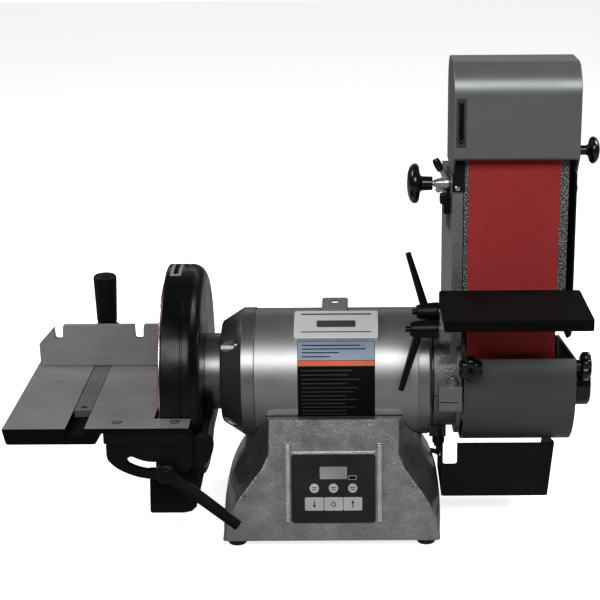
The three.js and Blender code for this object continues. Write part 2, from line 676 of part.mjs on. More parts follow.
function tensionSlide() {
  const plate = prism('x', outline([
    [-42.4, 374], [-42.4, 503, 12], [-10.6, 503, 12], [-10.6, 374],
  ]), 140.3, 149.7);
  const lower = slab([129.5, 141], [-38, -18], [379, 394]);
  const upper = slab([125.5, 133], [-36, -20], [390, 400]);
  return join(plate, lower, upper);
}

function tensionLever() {
  const [y, z] = TRACKING_AXIS;
  const shape = outline([
    [137, z - 5, 3], [137, z + 7, 3], [123, z + 34, 3], [115, z + 29, 3], [127, z + 2, 3],
    [118.5, z - 6, 2], [123, z - 11, 2],
  ]);
  return cut(prism('y', shape, y - 5, y + 5), cylinder('x', 110, 140, 3.4, TRACKING_AXIS, 12));
}

function beltTable() {
  const bottom = BELT_TABLE_TOP - BELT_TABLE_THICKNESS;
  const [y, z] = TABLE_PIVOT;
  const lug = outline([
    [-128, bottom + 1], [-120, bottom - 6, 4], [y - 8, z - 10, 6], [y + 10.5, z - 10, 9], [y + 10.5, z + 6, 5],
    [y + 4, bottom + 1],
  ]);
  return join(
    roundedPlate('z', BELT_TABLE_X, BELT_TABLE_Y, 4, bottom, BELT_TABLE_TOP),
    prism('x', lug, 139, 149.4),
  );
}

function tableBracket() {
  const [y, z] = TABLE_PIVOT;
  const shape = outline([
    [-46, 276], [y + 8, z + 8.6, 5], [y - 6, z + 8.6, 5], [-97, 261, 8], [-97, 244, 9], [-74, 236, 12],
    [-46, 240],
  ]);
  const washer = cylinder('x', 122.2, 124.5, 7.8, BRACKET_SCREW, 16);
  return join(prism('x', shape, 124, 136.4), washer);
}

// A clamping lever: a tapered hub on the screw's line, and an arm that leans away outwards.
function clampLever([hubEnd, hubStart], [y, z], tip) {
  const hub = rod('x', [
    [hubEnd - 5, 3.5], [hubEnd, 3.5], [hubEnd, 7.5], [hubEnd + 4, 9], [hubStart - 5, 11], [hubStart, 11],
  ], [y, z], 12);
  return join(hub, bar([hubEnd + 11, y, z], tip, 5.2, 6, 3.4));
}

const drumProfile = [
  [172, SHAFT_R + 0.4], [172, 22], [200, 24], [200, 55], [156, 55], [156, DRUM_R], [257, DRUM_R],
  [257, 55], [212, 55], [212, SHAFT_R + 0.4], [172, SHAFT_R + 0.4],
];
add('drive_drum', turned('x', drumProfile, onShaft, 36), 'aluminium');
add('belt_arm', beltArm(), 'hammered');
add('platen', platen(), 'steel');
add('graphite_pad', slab(PLATEN_X, [-61.5, -60.6], [262, 446]), 'graphite');
add('sanding_belt', sandingBelt(), 'abrasive');
add('upper_hood', upperHood(), 'darkGrey');
add('lower_cover', lowerCover(), 'darkGrey');
add('side_panel', sidePanel(), 'black');
add('tension_slide', tensionSlide(), 'castBlack');
add('idler_axle', rod('x', [[150.1, 8], [259, 8], [259, 12], [265, 12]], onIdler, 16), 'steel');
add('idler_roller', turned('x', [
  [156, 8.5], [156, 34.4], [BELT_X, IDLER_R], [257, 34.4], [257, 8.5], [156, 8.5],
], onIdler, 28), 'aluminium');
add('tension_lever', tensionLever(), 'steel');
add('tracking_knob', rod('x', [
  [88, 8], [89.5, 16], [93, 21.5], [97, 23], [101, 22.5], [104, 8], [117, 8], [117, 2.6], [139.8, 2.6],
], TRACKING_AXIS, 16), 'plastic');
add('hood_knob', rod('x', [
  [276.3, 5.5], [292, 5.5], [293, 13], [296, 15.5], [300, 14.5], [304, 9],
], [-30, 450], 14), 'plastic');
const COVER_KNOB = [158.5, 213];
add('cover_knob', join(
  cylinder('y', -87, -77.4, 6, COVER_KNOB, 12),
  lobedKnob('y', -103, -86, 15, 6, COVER_KNOB),
), 'plastic');
const SIDE_KNOB = [-66, 206.5];
add('side_cap_knob', join(
  cylinder('x', 281.3, 287, 6, SIDE_KNOB, 12),
  lobedKnob('x', 286, 299, 16.5, 6, SIDE_KNOB),
), 'plastic');
add('side_cap', rod('x', [[281.3, 26.5], [300, 26.5], [303, 24]], [-25, 172], 20), 'plastic');
add('belt_table', beltTable(), 'black');
add('table_bracket', tableBracket(), 'hammered');
add('table_tilt_lever', clampLever([98, 123], TABLE_PIVOT, [88, TABLE_PIVOT[0], 343]), 'castBlack');
add('bracket_lever', clampLever([90, 121.8], BRACKET_SCREW, [80, BRACKET_SCREW[0] - 2, 187]), 'castBlack');

// The sheet-metal chute under the drum, fixed to the base and open at its top and back.
function beltChute() {
  const [top, floor] = [101.5, 34];
  const [left, rightTop, rightFoot] = [130, 263.5, 257];
  const [front, back] = [-40, 46];
  const outside = outline([[left, top], [left, floor, 3], [rightFoot, floor, 2], [rightTop, top]]);
  const inside = outline([
    [left + 2, top + 1], [left + 2, floor + 2, 2], [rightFoot - 2, floor + 2, 2], [rightTop - 2, top + 1],
  ]);
  const windowInFront = roundedPlate('y', [left + 1.8, left + 18.5], [75, 120], 3, front - 1, front + 2.5);
  return cut(
    prism('y', outside, front, back),
    prism('y', inside, front + 2, back + 1),
    windowInFront,
    slab([left - 1, left + 3], [-11, back + 1], [60, top + 1]),
    cylinder('x', 120, 290, COVER_R + 2.5, onShaft, 40),
  );
}

add('belt_dust_chute', beltChute(), 'black');

// ---------------------------------------------------------------- origin
const bounds = new THREE.Box3().setFromObject(sander);
const footprint = bounds.getCenter(new THREE.Vector3());
sander.position.set(-footprint.x, -footprint.y, -bounds.min.z);

export default sander;
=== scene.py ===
"""Visual model of a bench belt and disc sander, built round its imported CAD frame."""
import json
import math
import random

import bmesh
import bpy
from mathutils import Matrix, Vector

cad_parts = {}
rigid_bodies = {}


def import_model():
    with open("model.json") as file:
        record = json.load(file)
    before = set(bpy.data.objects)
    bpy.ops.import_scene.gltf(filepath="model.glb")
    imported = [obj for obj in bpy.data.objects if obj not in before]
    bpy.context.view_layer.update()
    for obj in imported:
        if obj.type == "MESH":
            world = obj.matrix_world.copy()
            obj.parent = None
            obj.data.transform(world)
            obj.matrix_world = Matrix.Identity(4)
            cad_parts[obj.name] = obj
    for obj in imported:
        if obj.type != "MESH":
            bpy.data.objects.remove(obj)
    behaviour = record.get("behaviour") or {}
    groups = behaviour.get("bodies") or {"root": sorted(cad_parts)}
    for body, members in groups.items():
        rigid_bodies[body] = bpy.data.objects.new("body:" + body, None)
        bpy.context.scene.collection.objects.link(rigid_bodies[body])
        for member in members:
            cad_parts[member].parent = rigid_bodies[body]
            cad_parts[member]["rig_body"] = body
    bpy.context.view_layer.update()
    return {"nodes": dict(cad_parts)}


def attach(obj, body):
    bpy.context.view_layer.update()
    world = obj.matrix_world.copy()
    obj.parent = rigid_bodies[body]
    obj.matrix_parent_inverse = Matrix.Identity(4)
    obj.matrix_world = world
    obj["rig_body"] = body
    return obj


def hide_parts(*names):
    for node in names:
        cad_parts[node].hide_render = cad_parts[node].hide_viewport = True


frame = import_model()
nodes = frame["nodes"]
random.seed(7)

MM = 0.001
SHIFT = Vector((28.6975, 11.35, 0.0))  # from the CAD's machine frame to the row frame, in mm
ZERO_LENGTH = 1e-6

# Measures of the machine, in mm. Pairs are (y, z).
SHAFT = (0.0, 180.0)
SHELL_RADIUS = 75.0
GUARD_RADIUS = 128
IDLER = (-26.5, 483.3)
TRACKING_AXIS = (-28, 412.5)
BELT_TABLE_PIVOT = (-72, 274)
DISC_TABLE_TOP = 168.3
PANEL_SLOPE = 0.2206


def at(x, y, z):
    """A point of the machine frame, in mm, as a row-frame point in metres."""
    return (Vector((x, y, z)) + SHIFT) * MM


# ------------------------------------------------------------------ camera
FOCAL_MM, SENSOR_MM = 96.02, 36.0
SHIFT_X, SHIFT_Y = -0.0832, 0.0414
PITCH, YAW, ROLL = (math.radians(a) for a in (17.31, -0.04, -0.35))
CAMERA_PLACE = (0.05248, -1.79437, 0.79922)
ahead = Vector((math.sin(YAW) * math.cos(PITCH), math.cos(YAW) * math.cos(PITCH), -math.sin(PITCH)))
right = ahead.cross(Vector((0, 0, 1))).normalized()
up = right.cross(ahead)
camera_data = bpy.data.cameras.new("camera")
camera_data.lens, camera_data.sensor_width = FOCAL_MM, SENSOR_MM
camera_data.shift_x, camera_data.shift_y = SHIFT_X, SHIFT_Y
camera_data.clip_end = 30
camera = bpy.data.objects.new("camera", camera_data)
bpy.context.scene.collection.objects.link(camera)
columns = (
    math.cos(ROLL) * right + math.sin(ROLL) * up,
    math.cos(ROLL) * up - math.sin(ROLL) * right,
    -ahead,
)
turn = Matrix(columns).transposed().to_4x4()
camera.matrix_world = Matrix.Translation(CAMERA_PLACE) @ turn
bpy.context.scene.camera = camera


# ------------------------------------------------------------------ materials
def new_material(name, base, rough, metal=0.0, coat=0.0, coat_rough=0.1, specular=0.5):
    """A material, its tree, its shader and the object coordinates."""
    material = bpy.data.materials.new(name)
    material.use_nodes = True
    tree = material.node_tree
    shader = tree.nodes["Principled BSDF"]
    shader.inputs["Base Color"].default_value = (*base, 1)
    shader.inputs["Roughness"].default_value = rough
    shader.inputs["Metallic"].default_value = metal
    shader.inputs["Coat Weight"].default_value = coat
    shader.inputs["Coat Roughness"].default_value = coat_rough
    shader.inputs["Specular IOR Level"].default_value = specular
    place = tree.nodes.new("ShaderNodeTexCoord")
    return material, tree, shader, place.outputs["Object"]


def stretched(tree, place, scale):
    """Coordinates scaled by axis."""
    mapping = tree.nodes.new("ShaderNodeMapping")
    mapping.inputs["Scale"].default_value = scale
    tree.links.new(place, mapping.inputs["Vector"])
    return mapping.outputs["Vector"]


def noise(tree, place, scale, detail=3.0, roughness=0.55):
    """Soft noise; its features are about 1/scale metres wide."""
    node = tree.nodes.new("ShaderNodeTexNoise")
    node.inputs["Scale"].default_value = scale
    node.inputs["Detail"].default_value = detail
    node.inputs["Roughness"].default_value = roughness
    tree.links.new(place, node.inputs["Vector"])
    return node.outputs["Fac"]


def cells(tree, place, scale, smooth=0.6):
    """Rounded cells about 1/scale metres wide."""
    node = tree.nodes.new("ShaderNodeTexVoronoi")
    node.feature = "SMOOTH_F1"
    node.inputs["Scale"].default_value = scale
    node.inputs["Smoothness"].default_value = smooth
    tree.links.new(place, node.inputs["Vector"])
    return node.outputs["Distance"]


def ramp(tree, value, stops):
    """A colour ramp; a stop is (position, (grey,)) or (position, (red, green, blue))."""
    node = tree.nodes.new("ShaderNodeValToRGB")
    while len(node.color_ramp.elements) < len(stops):
        node.color_ramp.elements.new(0.5)
    for element, (where, colour) in zip(node.color_ramp.elements, stops):
        element.position = where
        element.color = (*colour, 1) if len(colour) == 3 else (colour[0],) * 3 + (1,)
    tree.links.new(value, node.inputs["Fac"])
    return node.outputs["Color"]


def spread(tree, value, low, high):
    """Maps the middle of a noise value to a range."""
    node = tree.nodes.new("ShaderNodeMapRange")
    node.inputs["From Min"].default_value = 0.3
    node.inputs["From Max"].default_value = 0.7
    node.inputs["To Min"].default_value = low
    node.inputs["To Max"].default_value = high
    tree.links.new(value, node.inputs["Value"])
    return node.outputs["Result"]


def bump(tree, shader, height, strength, distance):
    """Adds a bump to the shader's normal, on top of any that is there."""
    node = tree.nodes.new("ShaderNodeBump")
    node.inputs["Strength"].default_value = strength
    node.inputs["Distance"].default_value = distance
    tree.links.new(height, node.inputs["Height"])
    before = shader.inputs["Normal"].links
    if before:
        tree.links.new(before[0].from_socket, node.inputs["Normal"])
    tree.links.new(node.outputs["Normal"], shader.inputs["Normal"])


def shades(colour, *factors):
    """The colour times each factor."""
    return [tuple(min(1.0, c * f) for c in colour) for f in factors]


def multiplied(tree, base, shade, amount):
    """A base colour darkened by a shade."""
    mix = tree.nodes.new("ShaderNodeMix")
    mix.data_type, mix.blend_type = "RGBA", "MULTIPLY"
    mix.inputs["Factor"].default_value = amount
    tree.links.new(base, mix.inputs["A"])
    tree.links.new(shade, mix.inputs["B"])
    return mix.outputs["Result"]


def worn(tree, place, colour, low, high, scale):
    """A colour with slow, soft variation."""
    dark, mid, light = shades(colour, low, 1.0, high)
    return ramp(tree, noise(tree, place, scale, 5), [(0.3, dark), (0.5, mid), (0.72, light)])


def uneven_gloss(tree, shader, place, scale, detail, low, high):
    """Lets the roughness drift between two values."""
    tree.links.new(spread(tree, noise(tree, place, scale, detail), low, high), shader.inputs["Roughness"])


def hammered(name, colour, metal, rough):
    """Hammered enamel: pebbles about 3 mm wide, finely flecked with metal flake."""
    material, tree, shader, place = new_material(name, colour, rough, metal, coat=0.2, coat_rough=0.2)
    fleck = noise(tree, place, 800, 5, 0.8)
    dark, light = shades(colour, 0.64, 1.45)
    speckle = ramp(tree, fleck, [(0.34, dark), (0.5, colour), (0.66, light)])
    clouds = ramp(tree, noise(tree, place, 14, 5), [(0.3, (0.85,)), (0.7, (1.0,))])
    tree.links.new(multiplied(tree, speckle, clouds, 0.5), shader.inputs["Base Color"])
    uneven_gloss(tree, shader, place, 60, 3.0, rough - 0.06, rough + 0.08)
    bump(tree, shader, cells(tree, place, 330.0, 0.8), 0.6, 0.0005)
    bump(tree, shader, noise(tree, place, 1200, 3), 0.3, 0.00012)
    return material


def satin(name, colour, metal, rough, coat=0.15, grain=0.00003):
    """Smooth paint with a little orange peel and metallic flake."""
    material, tree, shader, place = new_material(name, colour, rough, metal, coat, 0.2)
    dark, light = shades(colour, 0.93, 1.07)
    flake = ramp(tree, noise(tree, place, 2600, 1), [(0.38, dark), (0.5, colour), (0.64, light)])
    tree.links.new(flake, shader.inputs["Base Color"])
    uneven_gloss(tree, shader, place, 16, 4, rough - 0.04, rough + 0.06)
    bump(tree, shader, noise(tree, place, 420, 2), 0.3, grain)
    return material


def dark_paint(name, colour, rough, texture=900.0, depth=0.00005, coat=0.0, specular=0.5):
    """Black or dark paint with a fine grain and slightly uneven colour."""
    material, tree, shader, place = new_material(name, colour, rough, 0, coat, 0.15, specular)
    tree.links.new(worn(tree, place, colour, 0.75, 1.5, 12), shader.inputs["Base Color"])
    uneven_gloss(tree, shader, place, 30, 4, rough - 0.07, rough + 0.1)
    bump(tree, shader, noise(tree, place, texture, 2), 0.4, depth)
    return material


def ground(name, colour, along, metal, rough):
    """Ground or brushed metal: faint lines along one axis under a cloudy, handled surface."""
    material, tree, shader, place = new_material(name, colour, rough, metal)
    across, lengthwise = 520.0, 22.0
    scale = [lengthwise if axis == along else across for axis in "xyz"]
    lines = noise(tree, stretched(tree, place, scale), 1.0, 4, 0.6)
    dark, light = shades(colour, 0.88, 1.105)
    streak = ramp(tree, lines, [(0.35, dark), (0.52, colour), (0.7, light)])
    clouds = ramp(tree, noise(tree, place, 17, 6, 0.62), [(0.3, (0.76,)), (0.5, (0.93,)), (0.7, (1.0,))])
    tree.links.new(multiplied(tree, streak, clouds, 0.8), shader.inputs["Base Color"])
    uneven_gloss(tree, shader, place, 24, 5, rough - 0.06, rough + 0.1)
    bump(tree, shader, lines, 0.024, 0.00004)
    return material


def turned_metal(name, colour, axis_point):
    """Lathe-turned metal: fine rings about an axis along X."""
    rough = 0.24
    material, tree, shader, place = new_material(name, colour, rough, metal=1.0)
    offset = tree.nodes.new("ShaderNodeMapping")
    offset.inputs["Location"].default_value = [-c for c in axis_point]
    tree.links.new(place, offset.inputs["Vector"])
    ring = tree.nodes.new("ShaderNodeTexWave")
    ring.wave_type, ring.rings_direction = "RINGS", "X"
    ring.inputs["Scale"].default_value = 260
    ring.inputs["Distortion"].default_value = 0.4
    tree.links.new(offset.outputs["Vector"], ring.inputs["Vector"])
    dark, light = shades(colour, 0.82, 1.1)
    tree.links.new(ramp(tree, ring.outputs["Fac"], [(0.2, dark), (0.8, light)]), shader.inputs["Base Color"])
    uneven_gloss(tree, shader, place, 40, 4, rough - 0.05, rough + 0.1)
    bump(tree, shader, ring.outputs["Fac"], 0.08, 0.00005)
    return material


def abrasive(name, colour):
    """Grit on cloth: coarse grains with dark binder between them, and faint upright bands of use."""
    material, tree, shader, place = new_material(name, colour, 0.85, specular=0.25)
    grain = cells(tree, place, 1500, 0.25)
    dark, light = shades(colour, 0.55, 1.35)
    grit = ramp(tree, noise(tree, place, 760, 6, 0.85), [(0.32, dark), (0.5, colour), (0.68, light)])
    bands = noise(tree, stretched(tree, place, (150.0, 4.0, 4.0)), 1.0, 3)
    used = ramp(tree, bands, [(0.3, (0.9,)), (0.65, (1.0,))])
    tree.links.new(multiplied(tree, grit, used, 0.55), shader.inputs["Base Color"])
    bump(tree, shader, grain, 0.6, 0.00025)
    return material


def speckled(name):
    """Graphite cloth: a black open weave with bright grey flecks."""
    material, tree, shader, place = new_material(name, (0.1, 0.105, 0.105), 0.62, 0.15)
    fleck = noise(tree, place, 620, 4, 0.72)
    stops = [(0.44, (0.008,)), (0.52, (0.05,)), (0.58, (0.3,)), (0.66, (0.6,))]
    tree.links.new(ramp(tree, fleck, stops), shader.inputs["Base Color"])
    bump(tree, shader, fleck, 0.6, 0.0003)
    return material


def plastic(name, colour, rough, coat=0.0, grain=0.00002, specular=0.3):
    """Moulded plastic or print."""
    material, tree, shader, place = new_material(name, colour, rough, 0, coat, 0.08, specular)
    tree.links.new(worn(tree, place, colour, 0.85, 1.25, 20), shader.inputs["Base Color"])
    uneven_gloss(tree, shader, place, 45, 4, rough - 0.05, rough + 0.08)
    bump(tree, shader, noise(tree, place, 1300, 2), 0.3, grain)
    return material


BLACK = (0.0018, 0.0021, 0.0021)
MATERIALS = {
    "hammered": hammered("hammered_silver", (0.4, 0.405, 0.4), 0.9, 0.33),
    # A lighter copy of the hammered silver: painted highlight for the panel's ribs and its top edge.
    "hammered_highlight": hammered("hammered_painted_highlight", (0.62, 0.625, 0.62), 0.7, 0.33),
    "hammered_dark": hammered("hammered_grey", (0.2, 0.205, 0.2), 0.7, 0.42),
    "motor": satin("motor_silver", (0.33, 0.335, 0.33), 0.95, 0.42, 0.04),
    "motor_end": satin("motor_end_grey", (0.26, 0.265, 0.26), 0.95, 0.34, 0.04),
    "hood": satin("hood_grey", (0.158, 0.167, 0.165), 0.58, 0.38, 0.03, 0.00004),
    "cover": satin("cover_grey", (0.07, 0.076, 0.075), 0.45, 0.42, 0.0, 0.00004),
    "black": dark_paint("black_powder_coat", (0.0042, 0.0049, 0.0049), 0.55, specular=0.12),
    "table": dark_paint("black_table_paint", BLACK, 0.66, 700, 0.00004, specular=0.06),
    "cast": dark_paint("black_cast_paint", BLACK, 0.36, 380, 0.00013, specular=0.15),
    "guard": dark_paint("black_guard_enamel", BLACK, 0.24, 300, 0.00009, 0.03, 0.2),
    "grip": dark_paint("moulded_grip", (0.002, 0.002, 0.002), 0.55, 500, 0.0001, specular=0.12),
    "ground_table": ground("ground_iron", (0.27, 0.275, 0.275), "x", 0.6, 0.42),
    "ground_fence": ground("ground_fence", (0.3, 0.305, 0.305), "x", 0.6, 0.42),
    "ground_bar": ground("ground_bar", (0.16, 0.165, 0.165), "y", 0.6, 0.42),
    "steel": ground("bright_steel", (0.55, 0.55, 0.54), "z", 1.0, 0.22),
    "disc": turned_metal("turned_disc", (0.62, 0.55, 0.52), at(0, *SHAFT)),
    "roller": turned_metal("turned_roller", (0.6, 0.6, 0.59), at(0, *IDLER)),
    "belt": abrasive("belt_grit", (0.32, 0.025, 0.026)),
    "graphite": speckled("graphite_canvas"),
    "rubber": dark_paint("rubber", (0.012, 0.012, 0.012), 0.75, 1200, 0.00005),
    "gloss": plastic("black_phenolic", (0.003, 0.0032, 0.0034), 0.16, 0.25),
    "panel": plastic("panel_black", (0.011, 0.0125, 0.0125), 0.45, specular=0.2),
    "key": plastic("key_grey", (0.42, 0.43, 0.43), 0.45),
    "display": plastic("display_window", (0.27, 0.28, 0.275), 0.2, 0.5, 0.000005),
    "ink": plastic("print_black", (0.0035, 0.004, 0.004), 0.6, specular=0.03),
    "ink_grey": plastic("print_grey", (0.33, 0.34, 0.34), 0.45),
    "frame_grey": plastic("label_dark_grey", (0.035, 0.037, 0.037), 0.5, specular=0.2),
    "label_grey": plastic("label_grey", (0.16, 0.165, 0.165), 0.45),
    "plaque": satin("plaque_silver", (0.66, 0.67, 0.66), 0.35, 0.35),
    "blue": plastic("label_blue", (0.2, 0.26, 0.34), 0.45),
    "orange": plastic("label_orange", (0.6, 0.09, 0.02), 0.45),
    "copper": ground("copper_windings", (0.4, 0.17, 0.08), "x", 0.9, 0.4),
    "zinc": ground("zinc_plate", (0.5, 0.505, 0.5), "z", 1.0, 0.3),
}


# ------------------------------------------------------------------ mesh helpers
def finish_piece(piece, material, body):
    """Gives a piece its material and body."""
    piece.data.materials.clear()
    piece.data.materials.append(MATERIALS[material])
    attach(piece, body)
    return piece


def smooth(data, angle=34):
    """Smooth shading with sharp edges above an angle in degrees."""
    data.polygons.foreach_set("use_smooth", [True] * len(data.polygons))
    data.set_sharp_from_angle(angle=math.radians(angle))


def from_bmesh(name, mesh, smooth_angle=34):
    """An object in the scene from a finished bmesh."""
    data = bpy.data.meshes.new(name)
    bmesh.ops.recalc_face_normals(mesh, faces=mesh.faces)
    mesh.to_mesh(data)
    mesh.free()
    smooth(data, smooth_angle)
    piece = bpy.data.objects.new(name, data)
    bpy.context.scene.collection.objects.link(piece)
    return piece


def weigh(piece):
    """Keeps broad faces flat in shading beside their rounded edges."""
    modifier = piece.modifiers.new("weighted", "WEIGHTED_NORMAL")
    modifier.keep_sharp = True
    return piece


def bevel_edges(mesh, edges, width, segments=2):
    """Rounds the edges of a bmesh."""
    bmesh.ops.bevel(mesh, geom=edges, offset=width, offset_type="OFFSET", segments=segments,
                    profile=0.5, affect="EDGES", clamp_overlap=True)


def refine(node, material, width):
    """The CAD node's own shape with its sharp edges rounded; it stands for the node."""
    mesh = bmesh.new()
    mesh.from_mesh(nodes[node].data)
    bmesh.ops.remove_doubles(mesh, verts=mesh.verts, dist=2e-6)
    bmesh.ops.dissolve_limit(mesh, angle_limit=math.radians(1), verts=mesh.verts, edges=mesh.edges)
    limit = math.radians(32)
    sharp = [e for e in mesh.edges if len(e.link_faces) == 2 and e.calc_face_angle(0) > limit]
    bevel_edges(mesh, sharp, width * MM)
    piece = weigh(from_bmesh(node + "_shape", mesh))
    finish_piece(piece, material, nodes[node]["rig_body"])
    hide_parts(node)


def band_faces(mesh, one, two):
    """The faces between two rings of a turned shape; a ring may be a single point."""
    count = max(len(one), len(two))
    for k in range(count):
        n = (k + 1) % count
        face = (one[k % len(one)], one[n % len(one)], two[n % len(two)], two[k % len(two)])
        unique = list(dict.fromkeys(face))
        if len(unique) > 2:
            mesh.faces.new(unique)


def revolve(name, axis, profile, centre, segments=96):
    """A closed ring, or a solid where the profile's ends lie on the axis. Profile is (along, radius), mm."""
    mesh = bmesh.new()
    rings = []
    for along, radius in profile:
        ring = []
        for k in range(segments if radius > ZERO_LENGTH else 1):
            angle = 2 * math.pi * k / segments
            p, q = centre[0] + radius * math.cos(angle), centre[1] + radius * math.sin(angle)
            spot = {"x": (along, p, q), "y": (p, along, q), "z": (p, q, along)}[axis]
            ring.append(mesh.verts.new(at(*spot)))
        rings.append(ring)
    closed = profile[0][1] > ZERO_LENGTH
    pairs = list(zip(rings, rings[1:])) + ([(rings[-1], rings[0])] if closed else [])
    for one, two in pairs:
        band_faces(mesh, one, two)
    return from_bmesh(name, mesh)


def softened(profile, radius, closed=False, steps=3):
    """Rounds a profile's corners, each by no more than its short side allows."""
    shortest, side_share = 0.05, 0.45
    result = []
    count = len(profile)
    for i, corner in enumerate(profile):
        if not closed and i in (0, count - 1):
            result.append(corner)
            continue
        c = Vector(corner)
        before, after = Vector(profile[i - 1]), Vector(profile[(i + 1) % count])
        reach = min(radius, (before - c).length * side_share, (after - c).length * side_share)
        if reach < shortest:
            result.append(corner)
            continue
        start = c + (before - c).normalized() * reach
        end = c + (after - c).normalized() * reach
        for k in range(steps + 1):
            t = k / steps
            p = start * (1 - t) ** 2 + c * (2 * t * (1 - t)) + end * t * t
            result.append((p.x, p.y))
    return result


def extrude(name, outline, thickness, place, bevel=0.0):
    """A flat outline in its own x, y, in mm, raised along z and put in place with a matrix in mm."""
    mesh = bmesh.new()
    low = [mesh.verts.new((x, y, 0)) for x, y in outline]
    face = mesh.faces.new(low)
    grown = bmesh.ops.extrude_face_region(mesh, geom=[face])
    top = [v for v in grown["geom"] if isinstance(v, bmesh.types.BMVert)]
    bmesh.ops.translate(mesh, verts=top, vec=(0, 0, thickness))
    if bevel:
        rim = [e for e in mesh.edges if all(v in top for v in e.verts)]
        bevel_edges(mesh, rim, bevel)
    for v in mesh.verts:
        v.co = at(*(place @ v.co))
    return weigh(from_bmesh(name, mesh))


def rounded_rectangle(width, height, radius, centre=(0, 0)):
    """The outline of a rectangle with round corners."""
    steps = 5
    points = []
    for corner, (sx, sy) in enumerate(((1, 1), (-1, 1), (-1, -1), (1, -1))):
        cx, cy = centre[0] + sx * (width / 2 - radius), centre[1] + sy * (height / 2 - radius)
        for k in range(steps + 1):
            angle = math.pi / 2 * (corner + k / steps)
            points.append((cx + radius * math.cos(angle), cy + radius * math.sin(angle)))
    return points


def frame_at(origin, first, second):
    """A matrix, in mm, whose x and y run along first and second."""
    x = Vector(first).normalized()
    y = Vector(second).normalized()
    z = x.cross(y)
    matrix = Matrix((x, y, z)).transposed().to_4x4()
    return Matrix.Translation(Vector(origin)) @ matrix


def screw_head(name, place, radius, height, drive, material, body):
    """A screw head on a face: a domed head with a hexagon or cross recess cut in."""
    mesh = bmesh.new()
    sides = 32
    drive_radius = radius * 0.46
    wedge = math.pi / (6 if drive == "hex" else 4)
    levels = [(radius, 0.0), (radius, height * 0.62), (radius * 0.86, height * 0.95), (radius * 0.7, height)]

    def ring(reach, z):
        angles = [2 * math.pi * k / sides for k in range(sides)]
        return [mesh.verts.new((reach(a) * math.cos(a), reach(a) * math.sin(a), z)) for a in angles]

    def recess(z, scale):
        def reach(angle):
            local = (angle + wedge) % (2 * wedge) - wedge
            if drive == "cross":
                return drive_radius * scale * (1.25 if abs(local) < 0.28 else 0.42)
            return drive_radius * scale * math.cos(wedge) / math.cos(local)
        return ring(reach, z)

    rings = [ring(lambda angle, r=r: r, z) for r, z in levels]
    rings += [recess(height, 1.0), recess(height * 0.35, 0.92)]
    for one, two in zip(rings, rings[1:]):
        band_faces(mesh, one, two)
    mesh.faces.new(list(reversed(rings[0])))
    mesh.faces.new(rings[-1])
    for v in mesh.verts:
        v.co = at(*(place @ v.co))
    return finish_piece(from_bmesh(name, mesh), material, body)


def washer(name, axis, start, thickness, inner, outer, centre, material, body):
    """A flat ring about an axis."""
    profile = [(start, inner), (start, outer), (start + thickness, outer), (start + thickness, inner)]
    ring = revolve(name, axis, softened(profile, thickness * 0.3, True, 2), centre, 48)
    return finish_piece(ring, material, body)


# ------------------------------------------------------------------ carried-over shapes
REFINED = {
    "base_casting": ("hammered", 3.0), "bottom_plate": ("black", 0.5), "control_panel": ("panel", 0.5),
    "lamp_tab": ("hammered_dark", 0.5), "lead_gland": ("gloss", 0.6), "cord_inlet": ("gloss", 0.6),
    "disc_end_bell": ("motor_end", 0.7), "belt_end_bell": ("motor_end", 0.7), "motor_shell": ("motor", 0.3),
    "disc_dust_chute": ("black", 0.7), "belt_dust_chute": ("black", 0.5), "trunnion_yoke": ("cast", 1.0),
    "front_trunnion": ("cast", 1.0), "rear_trunnion": ("cast", 1.0), "disc_table": ("ground_table", 0.7),
    "mitre_bar": ("ground_bar", 0.4), "mitre_fence": ("ground_fence", 0.4), "mitre_head": ("cast", 0.8),
    "belt_arm": ("hammered_dark", 0.9), "table_bracket": ("hammered_dark", 0.9), "platen": ("steel", 0.4),
    "upper_hood": ("hood", 0.9), "lower_cover": ("cover", 0.7), "side_panel": ("black", 0.4),
    "tension_slide": ("cast", 0.6), "belt_table": ("table", 1.1),
    "table_tilt_lever": ("cast", 0.8), "bracket_lever": ("cast", 0.8), "table_lock_lever": ("cast", 1.2),
}
for node, (material, width) in REFINED.items():
    refine(node, material, width)

# The disc table's top is ground and the rest of it is painted.
table = bpy.data.objects["disc_table_shape"]
table.data.materials.append(MATERIALS["table"])
table_top = max(v.co.z for v in table.data.vertices)
for polygon in table.data.polygons:
    flat_top = polygon.normal.z > 0.9 and polygon.center.z > table_top - MM
    polygon.material_index = 0 if flat_top else 1
for key in ("preset", "mode", "timer", "slower", "power", "faster"):
    refine(key + "_key", "key", 0.3)

# Hidden or plain nodes that keep the CAD's own mesh.
KEPT = {
    "speed_controller": "black", "stator": "copper", "disc_bearing": "steel", "belt_bearing": "steel",
    "motor_shaft": "steel", "idler_axle": "steel", "graphite_pad": "graphite",
}
for node, material in KEPT.items():
    nodes[node].data.materials.clear()
    nodes[node].data.materials.append(MATERIALS[material])


# ------------------------------------------------------------------ turned pieces
def turned(node, axis, profile, centre, material, radius, segments, closed=False):
    """A node's shape turned from its profile, with rounded corners."""
    piece = revolve(node + "_turned", axis, softened(profile, radius, closed), centre, segments)
    finish_piece(piece, material, nodes[node]["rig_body"])
    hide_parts(node)


FOOT = [(0, 0), (0, 9.3), (2, 11), (8.7, 11.5), (8.7, 0)]
for side, x in (("left", -110), ("right", 110)):
    for end, y in (("front", -94), ("back", 94)):
        turned(f"foot_{end}_{side}", "z", FOOT, (x, y), "rubber", 1.2, 40)

